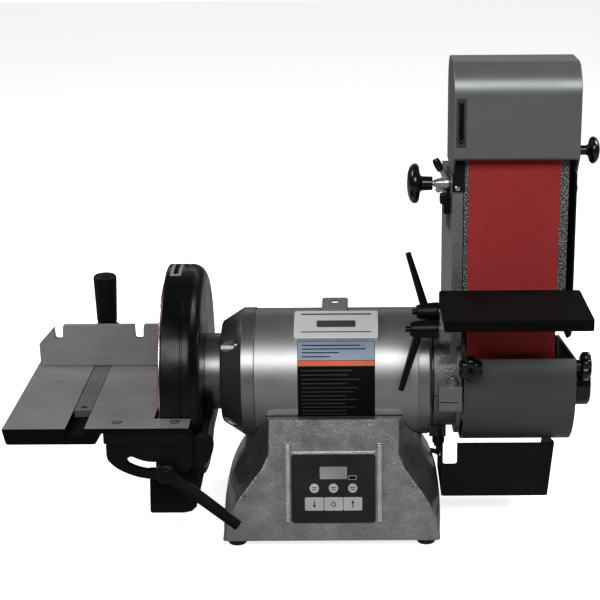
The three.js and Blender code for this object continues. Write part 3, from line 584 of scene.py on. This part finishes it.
DISC = [(-193.2, 0), (-193.2, 114.3), (-184, 114.3), (-184, 24), (-152, 24), (-152, 12.4), (-176, 12.4),
        (-176, 0)]
turned("sanding_disc", "x", DISC, SHAFT, "disc", 0.6, 128)
PAPER = [(-193.8, 0), (-193.8, 113.9), (-193.15, 113.9), (-193.15, 0)]
turned("abrasive_disc", "x", PAPER, SHAFT, "belt", 0.2, 128)
DRUM = [(172, 12.4), (172, 22), (200, 24), (200, 55), (156, 55), (156, 61.5), (257, 61.5), (257, 55),
        (212, 55), (212, 12.4)]
turned("drive_drum", "x", DRUM, SHAFT, "roller", 0.8, 96, True)
ROLLER = [(156, 8.5), (156, 34.4), (206.6, 35), (257, 34.4), (257, 8.5)]
turned("idler_roller", "x", ROLLER, IDLER, "roller", 0.8, 72, True)
TRACKING = [(88, 0), (88.2, 5), (88.9, 12), (91, 18.6), (94, 22), (97, 22.9), (99.6, 22.2), (101.6, 19),
            (102.4, 13), (103.4, 9.6), (105, 8.2), (117, 7.8), (117, 0)]
turned("tracking_knob", "x", TRACKING, TRACKING_AXIS, "gloss", 0.7, 64)
ROD = [(116.5, 0), (116.5, 2.6), (139.8, 2.6), (139.8, 0)]
finish_piece(revolve("tracking_rod", "x", ROD, TRACKING_AXIS, 32), "steel", "tracking_knob")
HOOD_KNOB = [(276.3, 0), (276.3, 5.4), (281, 5.6), (289, 5.4), (291.5, 7), (293, 12.6), (295, 15),
             (297.5, 15.4), (300.5, 13.6), (303, 9.5), (304, 5), (304, 0)]
turned("hood_knob", "x", HOOD_KNOB, (-30, 450), "gloss", 0.6, 64)
SIDE_CAP = [(281.3, 0), (281.3, 25.6), (282.4, 26.5), (284.2, 26.5), (285, 25.9), (285.8, 26.5),
            (300, 26.4), (302.6, 24.6), (303, 22), (303, 16), (301.9, 15), (301.9, 0)]
turned("side_cap", "x", SIDE_CAP, (-25, 172), "gloss", 0.5, 72)
HANDLE = [(214.9, 0), (214.9, 10.4), (216, 11.6), (220, 12.3), (245, 13.2), (270, 14.1), (273.6, 14.0),
          (276, 12.2), (277, 8.6), (277, 0)]
turned("mitre_handle", "z", HANDLE, (-277.5, 85), "grip", 0.6, 48)


def guard():
    """The disc guard with its rounded shoulder and the mouth that lets dust into the chute."""
    wall, shoulder, front, back, outer, hub_hole = 3, 17, -190.6, -147, GUARD_RADIUS, 28
    lip_radius, groove_depth = 2.4, 0.9
    bend = back - shoulder

    def rounding(radius, steps=8):
        angles = [math.pi / 2 * k / steps for k in range(steps + 1)]
        return [(bend + radius * math.sin(a), outer - shoulder + radius * math.cos(a)) for a in angles]

    lip = [(front + lip_radius * (1 - math.sin(a)), outer - lip_radius * (1 - math.cos(a)))
           for a in (math.pi / 2 * (1 - k / 5) for k in range(6))]
    groove = [(bend - 4.2, outer), (bend - 3.4, outer - groove_depth), (bend - 1.8, outer - groove_depth),
              (bend - 1.0, outer)]
    profile = [(front, outer - wall), *lip, *groove, *rounding(shoulder), (back, hub_hole),
               (back - wall, hub_hole), *reversed(rounding(shoulder - wall))]
    shape = revolve("guard_shell", "x", profile, SHAFT, 120)
    low, high = at(front + 3, -70, 40), at(back - 4, 20, 110)
    mesh = bmesh.new()
    bmesh.ops.create_cube(mesh, size=1)
    for v in mesh.verts:
        v.co = Vector([low[i] if v.co[i] < 0 else high[i] for i in range(3)])
    tool = from_bmesh("guard_mouth_tool", mesh)
    cut = shape.modifiers.new("mouth", "BOOLEAN")
    cut.operation, cut.object, cut.solver = "DIFFERENCE", tool, "EXACT"
    bpy.context.view_layer.update()
    result = shape.evaluated_get(bpy.context.evaluated_depsgraph_get())
    data = bpy.data.meshes.new_from_object(result)
    shape.modifiers.clear()
    shape.data = data
    bpy.data.objects.remove(tool)
    smooth(data)
    shape.name = "disc_guard_shell"
    finish_piece(shape, "guard", "root")
    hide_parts("disc_guard")


guard()


# ------------------------------------------------------------------ sanding belt
def belt():
    """The belt as one smooth loop round drum and idler, with its cloth edges slightly rounded."""
    drum, idler, thick, edge = 61.8, 35.3, 1.2, 0.4
    lean = 2 * math.atan2(SHAFT[0] - IDLER[0], IDLER[1] - SHAFT[1])
    left, right_edge = 155.8, 257.4
    straight_steps = 24
    path = [(*SHAFT, drum, math.pi + (math.pi + lean) * k / 48) for k in range(49)]
    path += [(*IDLER, idler, lean + (math.pi - lean) * k / 32) for k in range(33)]
    ring = []
    for i, (y, z, r, a) in enumerate(path):
        out = Vector((math.cos(a), math.sin(a)))
        here = Vector((y, z)) + r * out
        ring.append((*here, *out))
        ny, nz, nr, na = path[(i + 1) % len(path)]
        if (y, z) != (ny, nz):
            next_out = Vector((math.cos(na), math.sin(na)))
            there = Vector((ny, nz)) + nr * next_out
            for step in range(1, straight_steps):
                ring.append((*here.lerp(there, step / straight_steps), *out.lerp(next_out, 0.5)))
    section = [(left, 0.0), (left, thick - 0.25), (left + edge, thick), (right_edge - edge, thick),
               (right_edge, thick - 0.25), (right_edge, 0.0)]
    mesh = bmesh.new()
    rows = [[mesh.verts.new(at(x, y + h * ny, z + h * nz)) for x, h in section] for y, z, ny, nz in ring]
    for row, following in zip(rows, rows[1:] + rows[:1]):
        band_faces(mesh, row, following)
    piece = from_bmesh("sanding_belt_loop", mesh)
    finish_piece(piece, "belt", "belt_arm")
    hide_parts("sanding_belt")


belt()


# ------------------------------------------------------------------ motor lead
def tube(name, points, radius, material, body, resolution=12, taper=None):
    """A round solid along a smooth curve through points in mm."""
    curve = bpy.data.curves.new(name, "CURVE")
    curve.dimensions = "3D"
    curve.bevel_depth = radius * MM
    curve.bevel_resolution = 5
    curve.use_fill_caps = True
    curve.resolution_u = resolution
    spline = curve.splines.new("NURBS")
    spline.points.add(len(points) - 1)
    for i, (spot, p) in enumerate(zip(spline.points, points)):
        spot.co = (*at(*p), 1)
        spot.radius = taper[i] if taper else 1.0
    spline.order_u = 4
    spline.use_endpoint_u = True
    piece = bpy.data.objects.new(name, curve)
    bpy.context.scene.collection.objects.link(piece)
    bpy.context.view_layer.update()
    data = bpy.data.meshes.new_from_object(piece.evaluated_get(bpy.context.evaluated_depsgraph_get()))
    bpy.data.objects.remove(piece)
    solid = bpy.data.objects.new(name, data)
    bpy.context.scene.collection.objects.link(solid)
    data.polygons.foreach_set("use_smooth", [True] * len(data.polygons))
    return finish_piece(solid, material, body)


LEAD = [(128.5, 0, 83.4), (128.5, 0.4, 78), (128.5, 9, 69.5), (128.5, 23, 65.5), (123.6, 32, 64),
        (114, 33, 64), (103, 33, 64)]
LEAD_RADIUS = 3.1
sheath = tube("motor_lead_sheath", LEAD, LEAD_RADIUS, "rubber", "root")
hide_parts("motor_lead")

# ------------------------------------------------------------------ motor details
BELL_SCREW_CIRCLE = 66
for k in (1, 3, 5, 7):
    angle = math.radians(45 * k)
    y, z = BELL_SCREW_CIRCLE * math.cos(angle), SHAFT[1] + BELL_SCREW_CIRCLE * math.sin(angle)
    place = frame_at((-106.4, y, z), (0, 0, 1), (0, 1, 0))
    screw_head(f"bell_screw_{k}", place, 5.0, 5.2, "cross", "steel", "root")


def sliced_solid(outline, cuts, thickness):
    """A flat outline in x, y, cut across at each y of cuts so that it can bend, and raised along z."""
    mesh = bmesh.new()
    mesh.faces.new([mesh.verts.new((x, y, 0)) for x, y in outline])
    for level in cuts:
        geometry = mesh.verts[:] + mesh.edges[:] + mesh.faces[:]
        bmesh.ops.bisect_plane(mesh, geom=geometry, plane_co=(0, level, 0), plane_no=(0, 1, 0))
    grown = bmesh.ops.extrude_face_region(mesh, geom=mesh.faces[:])
    top = [v for v in grown["geom"] if isinstance(v, bmesh.types.BMVert)]
    bmesh.ops.translate(mesh, verts=top, vec=(0, 0, thickness))
    return mesh


def wrap(mesh, angle0, arc_radius, foot_radius):
    """Bends a solid in mm round the shaft: y runs round it from angle0, and z goes outwards from the foot."""
    for v in mesh.verts:
        angle = angle0 + v.co.y / arc_radius
        reach = foot_radius + v.co.z
        v.co = at(v.co.x, -reach * math.cos(angle), SHAFT[1] + reach * math.sin(angle))


def on_motor(name, x0, x1, z0, z1, lift, material, radius, thick, column=14, bevel=0.0):
    """A label or plaque bent round the front of the motor's shell, between two heights."""
    shell = SHELL_RADIUS + lift
    a0, a1 = (math.asin(max(-1.0, min(1.0, (z - SHAFT[1]) / shell))) for z in (z0, z1))
    length = shell * (a1 - a0)
    flat = rounded_rectangle(x1 - x0, length, radius, ((x0 + x1) / 2, 0))
    mesh = sliced_solid(flat, [-length / 2 + length * i / column for i in range(1, column)], thick)
    if bevel:
        rim = [e for e in mesh.edges if all(v.co.z > thick / 2 for v in e.verts)
               and any(abs(f.normal.z) < 0.5 for f in e.link_faces)]
        bevel_edges(mesh, rim, bevel, 3)
    wrap(mesh, (a0 + a1) / 2, shell, shell)
    finish_piece(weigh(from_bmesh(name, mesh, 40)), material, "root")


ON_PLAQUE, ON_LABEL, ON_LABEL_HEAD = 5.52, 0.3, 0.52
on_motor("name_plaque", -42, 55, 233.6, 253.0, -0.5, "plaque", 3.5, 6.0, 12, 1.6)
on_motor("plaque_rule_top", -34, 47, 256.6, 257.3, ON_PLAQUE, "frame_grey", 0.2, 0.3)
on_motor("plaque_lozenge", -16, 29, 247.6, 252.6, ON_PLAQUE, "frame_grey", 2.2, 0.3)
on_motor("plaque_rule_bottom", -34, 47, 243.2, 243.9, ON_PLAQUE, "frame_grey", 0.2, 0.3)
on_motor("data_label", -38, 51, 143.3, 233.5, 0.05, "ink", 1.2, 0.25, 22)
on_motor("data_label_head", -37.4, 50.4, 214.7, 233.1, ON_LABEL, "blue", 0.6, 0.2)
on_motor("data_label_band", -37.4, 50.4, 208.8, 214.2, ON_LABEL, "orange", 0.3, 0.2)
for row in range(12):
    z, x = 204.0 - 4.9 * row, -33.5
    end = x + 80 * random.uniform(0.62, 0.97)
    on_motor(f"data_label_rule_{row}", x, end, z - 0.45, z + 0.45, ON_LABEL, "frame_grey", 0.2, 0.12, 2)
for row, (z, share) in enumerate(((229.6, 0.86), (226.2, 0.94), (222.6, 0.55), (218.6, 0.42))):
    x = -33
    on_motor(f"data_label_line_{row}", x, x + 78 * share, z - 0.5, z + 0.5, ON_LABEL_HEAD, "ink", 0.2, 0.1, 2)
washer("shell_seam_left", "x", -89.4, 1.1, 74.9, 76.3, SHAFT, "motor_end", "root")
washer("shell_seam_right", "x", 100.7, 1.0, 74.9, 75.9, SHAFT, "motor_end", "root")

# ------------------------------------------------------------------ control panel
FACING = ((1, 0, 0), (0, 0, 1))  # x across and z up, facing the operator
BASE_FRONT_FOOT, PANEL_FOOT = (-110, 9), 30
panel_origin = (2.5, BASE_FRONT_FOOT[0] + (PANEL_FOOT - BASE_FRONT_FOOT[1]) * PANEL_SLOPE, PANEL_FOOT)
panel = Matrix.Translation(panel_origin) @ Matrix.Rotation(-math.atan(PANEL_SLOPE), 4, "X")


def on_panel(name, outline, out, thickness, material, body="root", bevel=0.0):
    """An outline in the panel's own x and z, raised towards the operator from a depth in mm."""
    place = panel @ frame_at((0, -out, 0), *FACING)
    finish_piece(extrude(name, outline, thickness, place, bevel), material, body)


# Raised strips in the lighter hammered copy on the panel's ribs and along its top edge: painted highlight.
for side, x in (("left", -52.7), ("right", 53.3)):
    on_panel(f"panel_rib_highlight_{side}", rounded_rectangle(4.6, 90, 1.6, (x, 45.6)), 2.5, 0.6,
             "hammered_highlight", bevel=0.5)
on_panel("panel_top_highlight_strip", rounded_rectangle(94, 2.6, 1.0, (0.3, 81.5)), 1.5, 0.5,
         "hammered_highlight", bevel=0.4)
DISPLAY_CENTRE, LAMP_CENTRE = (0, 58.3), (22, 52.8)
for name, outline, out, thickness, material in (
        ("display_window", rounded_rectangle(31.6, 14.6, 0.8, DISPLAY_CENTRE), 1.85, 0.6, "display"),
        ("lamp_window_rim", rounded_rectangle(9.4, 5.2, 0.9, LAMP_CENTRE), 3.02, 0.22, "ink_grey"),
        ("lamp_window", rounded_rectangle(7.8, 3.6, 0.6, LAMP_CENTRE), 3.26, 0.1, "ink")):
    on_panel(name, outline, out, thickness, material)
KEY_PITCH, KEY_ROW_HIGH, KEY_ROW_LOW = 22.2, 40.4, 22.0


def key_print(name, outline, node):
    """A mark on a key's face."""
    on_panel(name, outline, 3.84, 0.12, "ink", node)


for i, node in ((-1, "preset_key"), (0, "mode_key"), (1, "timer_key")):
    for row, (wide, rise) in enumerate(((6.0, 1.2), (4.6, -1.2))):
        rule = rounded_rectangle(wide, 0.8, 0.3, (KEY_PITCH * i, KEY_ROW_HIGH + rise))
        key_print(f"{node}_print_{row}", rule, node)


def arrow(x, z, length):
    """A plain arrow outline that points up when length is positive."""
    head, stem = 3.2, 1.0
    tip, tail = z + length / 2, z - length / 2
    neck = tip - math.copysign(head, length)
    return [(x - stem / 2, tail), (x + stem / 2, tail), (x + stem / 2, neck), (x + head * 0.62, neck),
            (x, tip), (x - head * 0.62, neck), (x - stem / 2, neck)]


def open_ring(height, inner, outer, gap=36, steps=26):
    """The outline of a ring that is open at its top; gap is half the opening, in degrees."""
    turns = [math.radians(gap + (360 - 2 * gap) * k / steps) for k in range(steps + 1)]
    return ([(outer * math.sin(a), height + outer * math.cos(a)) for a in turns]
            + [(inner * math.sin(a), height + inner * math.cos(a)) for a in reversed(turns)])


key_print("slower_print", arrow(-KEY_PITCH, 22.2, -8.6), "slower_key")
key_print("faster_print", arrow(KEY_PITCH, 22.2, 8.6), "faster_key")
key_print("power_ring_print", open_ring(KEY_ROW_LOW, 2.0, 2.9), "power_key")
key_print("power_bar_print", rounded_rectangle(0.9, 3.6, 0.3, (0, 24.4)), "power_key")

# ------------------------------------------------------------------ hood and guard arrows
def down_arrow(width, height):
    """A plain arrow outline with a notched tail, pointing down."""
    half, tip, stem = width / 2, height / 2, 0.31 * width
    neck = -tip + 4.6 + 0.2 * width
    return [(-stem, tip), (0, tip - 0.34 * width), (stem, tip), (stem, neck), (half, neck), (0, -tip),
            (-half, neck), (-stem, neck)]


def on_hood(name, outline, lift, thickness, material):
    """An outline on the hood's front face."""
    place = frame_at((145.2, -80.05, 490), *FACING) @ Matrix.Translation((0, 0, lift))
    finish_piece(extrude(name, outline, thickness, place), material, "belt_arm")


on_hood("hood_label", rounded_rectangle(10.8, 54, 0.8), 0, 0.25, "frame_grey")
on_hood("hood_arrow", down_arrow(8.4, 48), 0.26, 0.12, "ink")
notch = [(-4.6, -17.6), (0, -20.6), (4.6, -17.6), (4.6, -16.2), (0, -19.2), (-4.6, -16.2)]
on_hood("hood_arrow_notch", notch, 0.39, 0.1, "frame_grey")


def on_guard(name, outline, lift, thickness, material):
    """An outline bent round the guard's rim; x is along the shaft and y runs round the rim, in mm."""
    along, middle = -178.5, math.radians(89)
    moved = [(x + along, y) for x, y in outline]
    mesh = sliced_solid(moved, [2.8 * i for i in range(-9, 10)], thickness)
    wrap(mesh, middle, GUARD_RADIUS, GUARD_RADIUS + lift)
    finish_piece(from_bmesh(name, mesh), material, "root")


on_guard("guard_label", rounded_rectangle(13, 50, 0.8), 0.05, 0.25, "label_grey")
on_guard("guard_arrow", down_arrow(8.4, 44), 0.31, 0.12, "ink")

# ------------------------------------------------------------------ screws and clamp hardware
FLAT = ((1, 0, 0), (0, 1, 0))  # facing up
LEFTWARD = ((0, 0, 1), (0, 1, 0))  # facing the disc end
RIGHTWARD = ((0, 1, 0), (0, 0, 1))  # facing the belt end
for name, x, y in (("table_screw_left", -237, -140), ("table_screw_right", -173, -140),
                   ("table_screw_back_left", -237, 140), ("table_screw_back_right", -173, 140)):
    washer(name + "_seat", "z", DISC_TABLE_TOP - 0.04, 0.1, 4.3, 5.6, (x, y), "cast", "disc_table")
    seat = frame_at((x, y, DISC_TABLE_TOP - 0.02), *FLAT)
    screw_head(name, seat, 4.3, 0.14, "hex", "ground_bar", "disc_table")

screw_head("lock_lever_screw", frame_at((-182, -166.95, 115.5), *FACING), 5.6, 1.6, "hex", "cast",
           "table_lock_lever")
screw_head("mitre_bar_screw", frame_at((-281, -90, 167.85), *FLAT), 3.4, 0.35, "hex", "cast",
           "mitre_slide")

# A dark sheet across the gap between the disc and the chute's left wall: painted shade that shuts out the
# backdrop where the gap looks dark.
shade_sheet_place = frame_at((-206.9, 0, 0), (0, 1, 0), (0, 0, -1)) @ Matrix.Scale(-1, 4, (0, 1, 0))
shade_sheet = extrude("disc_chute_shade_sheet", rounded_rectangle(132, 17, 1.5, (-32, 132.4)), 2.2, shade_sheet_place, 0.4)
finish_piece(shade_sheet, "rubber", "root")

washer("tilt_lever_washer", "x", 123.1, 0.8, 4.0, 8.6, BELT_TABLE_PIVOT, "steel", "belt_arm")
screw_head("clamp_screw", frame_at((140, -74, 193.05), *FLAT), 4.6, 3.6, "hex", "hammered_dark",
           "belt_arm")
for name, spot, radius, height, drive in (("bracket_screw_low", (123.9, -58, 246), 4.2, 3.0, "hex"),
                                          ("bracket_screw_high", (123.9, -54, 268), 4.2, 3.0, "hex"),
                                          ("arm_side_screw", (136.6, -44, 286), 3.2, 1.8, "cross")):
    screw_head(name, frame_at(spot, *LEFTWARD), radius, height, drive, "cast", "belt_arm")
for i, (y, z) in enumerate(((10, 246), (10, 410), (-46, 410))):
    screw_head(f"panel_screw_{i}", frame_at((276.82, y, z), *RIGHTWARD), 4.0, 2.0, "cross", "steel",
               "belt_arm")
screw_head("idler_nut", frame_at((265.02, *IDLER), *RIGHTWARD), 9.0, 2.4, "hex", "zinc",
           "belt_tension")


def tension_lever():
    """The zinc lever: a cone on the tracking rod, an arm with a black cap, and a short prong."""
    y, z = TRACKING_AXIS
    cone = [(118.2, 3.0), (118.2, 4.0), (127, 6.4), (132.5, 8.2), (136.8, 8.2), (136.8, 3.0)]
    hub = revolve("tension_lever_hub", "x", softened(cone, 0.8, True), TRACKING_AXIS, 48)
    finish_piece(hub, "zinc", "tension_lever")
    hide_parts("tension_lever")
    thickness = 5.4
    side = frame_at((0, y + thickness / 2, 0), *FACING)
    arm = [(136.5, z + 1), (136, z + 6), (124.5, z + 25.5), (120.5, z + 23.5), (128.5, z + 5), (131, z)]
    prong = [(136.5, z - 1), (130, z + 0.5), (119.8, z - 7.2), (122.4, z - 11), (134, z - 6.5)]
    for name, outline in (("arm", arm), ("prong", prong)):
        shape = extrude("tension_lever_" + name, softened(outline, 1.6, True), thickness, side, 0.9)
        finish_piece(shape, "zinc", "tension_lever")
    cap = [(126.4, y, z + 14.6), (124.2, y, z + 19), (121.6, y, z + 24.2), (119.9, y, z + 27.6)]
    tube("tension_lever_cap", cap, 4.6, "gloss", "tension_lever", 8, (0.8, 1.05, 1.1, 0.8))


tension_lever()
guide_outline = rounded_rectangle(14.2, 42, 1.2, (144.4, 430.6))
guide = extrude("belt_edge_guide", guide_outline, 3.6, frame_at((0, -58.2, 0), *FACING), 0.6)
finish_piece(guide, "black", "belt_arm")
screw_head("belt_edge_guide_screw", frame_at((143.5, -61.75, 414), *FACING), 3.0, 1.8, "hex", "steel",
           "belt_arm")


def star_knob(node, axis, foot, face, outer, centre, stem):
    """A six-lobed clamping knob with a domed face, a round recess in it and a dark stud end."""
    depth = face - foot
    levels = [(0.0, 0.74), (0.1, 0.93), (0.24, 1.0), (0.66, 1.0), (0.84, 0.92), (0.95, 0.76), (1.0, 0.52),
              (1.0, 0.42), (0.9, 0.38), (0.9, 0.0)]
    mesh = bmesh.new()
    lobes = 6
    steps = lobes * 14
    rings = []
    for along, share in levels:
        ring = []
        where = foot + depth * along
        valley = 0.2 * min(1.0, share / 0.76) ** 3
        for k in range(steps if share else 1):
            angle = 2 * math.pi * k / steps
            lobe = 0.5 + 0.5 * math.cos(lobes * angle)
            reach = outer * share * (1 - valley * (1 - lobe ** 0.6))
            p, q = centre[0] + reach * math.sin(angle), centre[1] + reach * math.cos(angle)
            ring.append(mesh.verts.new(at(*((where, p, q) if axis == "x" else (p, where, q)))))
        rings.append(ring)
    for one, two in zip(rings, rings[1:]):
        band_faces(mesh, one, two)
    mesh.faces.new(list(reversed(rings[0])))
    piece = finish_piece(from_bmesh(node + "_lobes", mesh, 40), "gloss", node)
    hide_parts(node)
    sunk, stud_foot, stud_face = (foot + share * depth for share in (0.15, 0.88, 0.96))
    neck = [(stem, 0), (stem, 6), (sunk, 6.6), (sunk, 0)]
    finish_piece(revolve(node + "_stem", axis, neck, centre, 40), "gloss", node)
    tip = [(stud_foot, 0), (stud_foot, 3.6), (stud_face, 3.2), (stud_face, 0)]
    finish_piece(revolve(node + "_stud", axis, tip, centre, 32), "ink", node)


star_knob("cover_knob", "y", -86.5, -103, 15, (158.5, 213), -77.4)
star_knob("side_cap_knob", "x", 286.5, 299, 16.5, (-66, 206.5), 281.3)

# ------------------------------------------------------------------ floor and light
FLOOR_HALF_WIDTH, FLOOR_DROP = 6, 0.0004
FLOOR_GLOW, FLOOR_BOUNCE, SKY_FILL = 0.82, 0.32, 0.07


def seen_or_lighting(tree, lighting, seen):
    """One shader for what the eye sees and a darker one for the light that reaches the object."""
    ray = tree.nodes.new("ShaderNodeLightPath")
    either = tree.nodes.new("ShaderNodeMixShader")
    tree.links.new(ray.outputs["Is Camera Ray"], either.inputs[0])
    tree.links.new(lighting.outputs[0], either.inputs[1])
    tree.links.new(seen.outputs[0], either.inputs[2])
    return either.outputs[0]


mesh = bmesh.new()
bmesh.ops.create_grid(mesh, x_segments=2, y_segments=2, size=FLOOR_HALF_WIDTH)
floor = from_bmesh("studio_floor", mesh)
floor.location.z = -FLOOR_DROP
floor_material, tree, shader, place = new_material("floor_white", (0.93, 0.93, 0.925), 0.9, specular=0.1)
fine = ramp(tree, noise(tree, place, 30, 4), [(0.3, (0.9,)), (0.7, (0.94,))])
tree.links.new(fine, shader.inputs["Base Color"])
shader.inputs["Emission Color"].default_value = (1, 1, 1, 1)
shader.inputs["Emission Strength"].default_value = FLOOR_GLOW
bounce = tree.nodes.new("ShaderNodeBsdfDiffuse")
bounce.inputs["Color"].default_value = (*[FLOOR_BOUNCE] * 3, 1)
tree.links.new(seen_or_lighting(tree, bounce, shader), tree.nodes["Material Output"].inputs["Surface"])
floor.data.materials.append(floor_material)

world = bpy.data.worlds.new("studio")
bpy.context.scene.world = world
world.use_nodes = True
sky = world.node_tree
backdrop = sky.nodes.new("ShaderNodeBackground")
backdrop.inputs["Color"].default_value = (1, 1, 1, 1)
backdrop.inputs["Strength"].default_value = 1.0
fill = sky.nodes["Background"]
fill.inputs["Color"].default_value = (0.95, 0.98, 1, 1)
fill.inputs["Strength"].default_value = SKY_FILL
sky.links.new(seen_or_lighting(sky, fill, backdrop), sky.nodes["World Output"].inputs["Surface"])
bpy.context.scene.view_settings.view_transform = "Standard"


def area_light(name, where, target, size, power):
    """A soft box of a size in metres and a power in watts, turned to its target."""
    data = bpy.data.lights.new(name, "AREA")
    data.shape, data.size, data.size_y, data.energy = "RECTANGLE", size[0], size[1], power
    lamp = bpy.data.objects.new(name, data)
    bpy.context.scene.collection.objects.link(lamp)
    lamp.location = where
    lamp.rotation_euler = (Vector(target) - Vector(where)).to_track_quat("-Z", "Y").to_euler()


area_light("front_box", (0.0, -2.05, 1.86), (0, 0, 0.2), (2.6, 0.95), 58)
area_light("left_box", (-1.6, 0.35, 1.6), (0, 0, 0.1), (0.8, 0.9), 26)
area_light("right_box", (1.6, 0.35, 1.6), (0, 0, 0.1), (0.8, 0.9), 26)
area_light("back_box", (0.0, 2.2, 1.2), (0, 0, 0.2), (2.4, 0.4), 2)
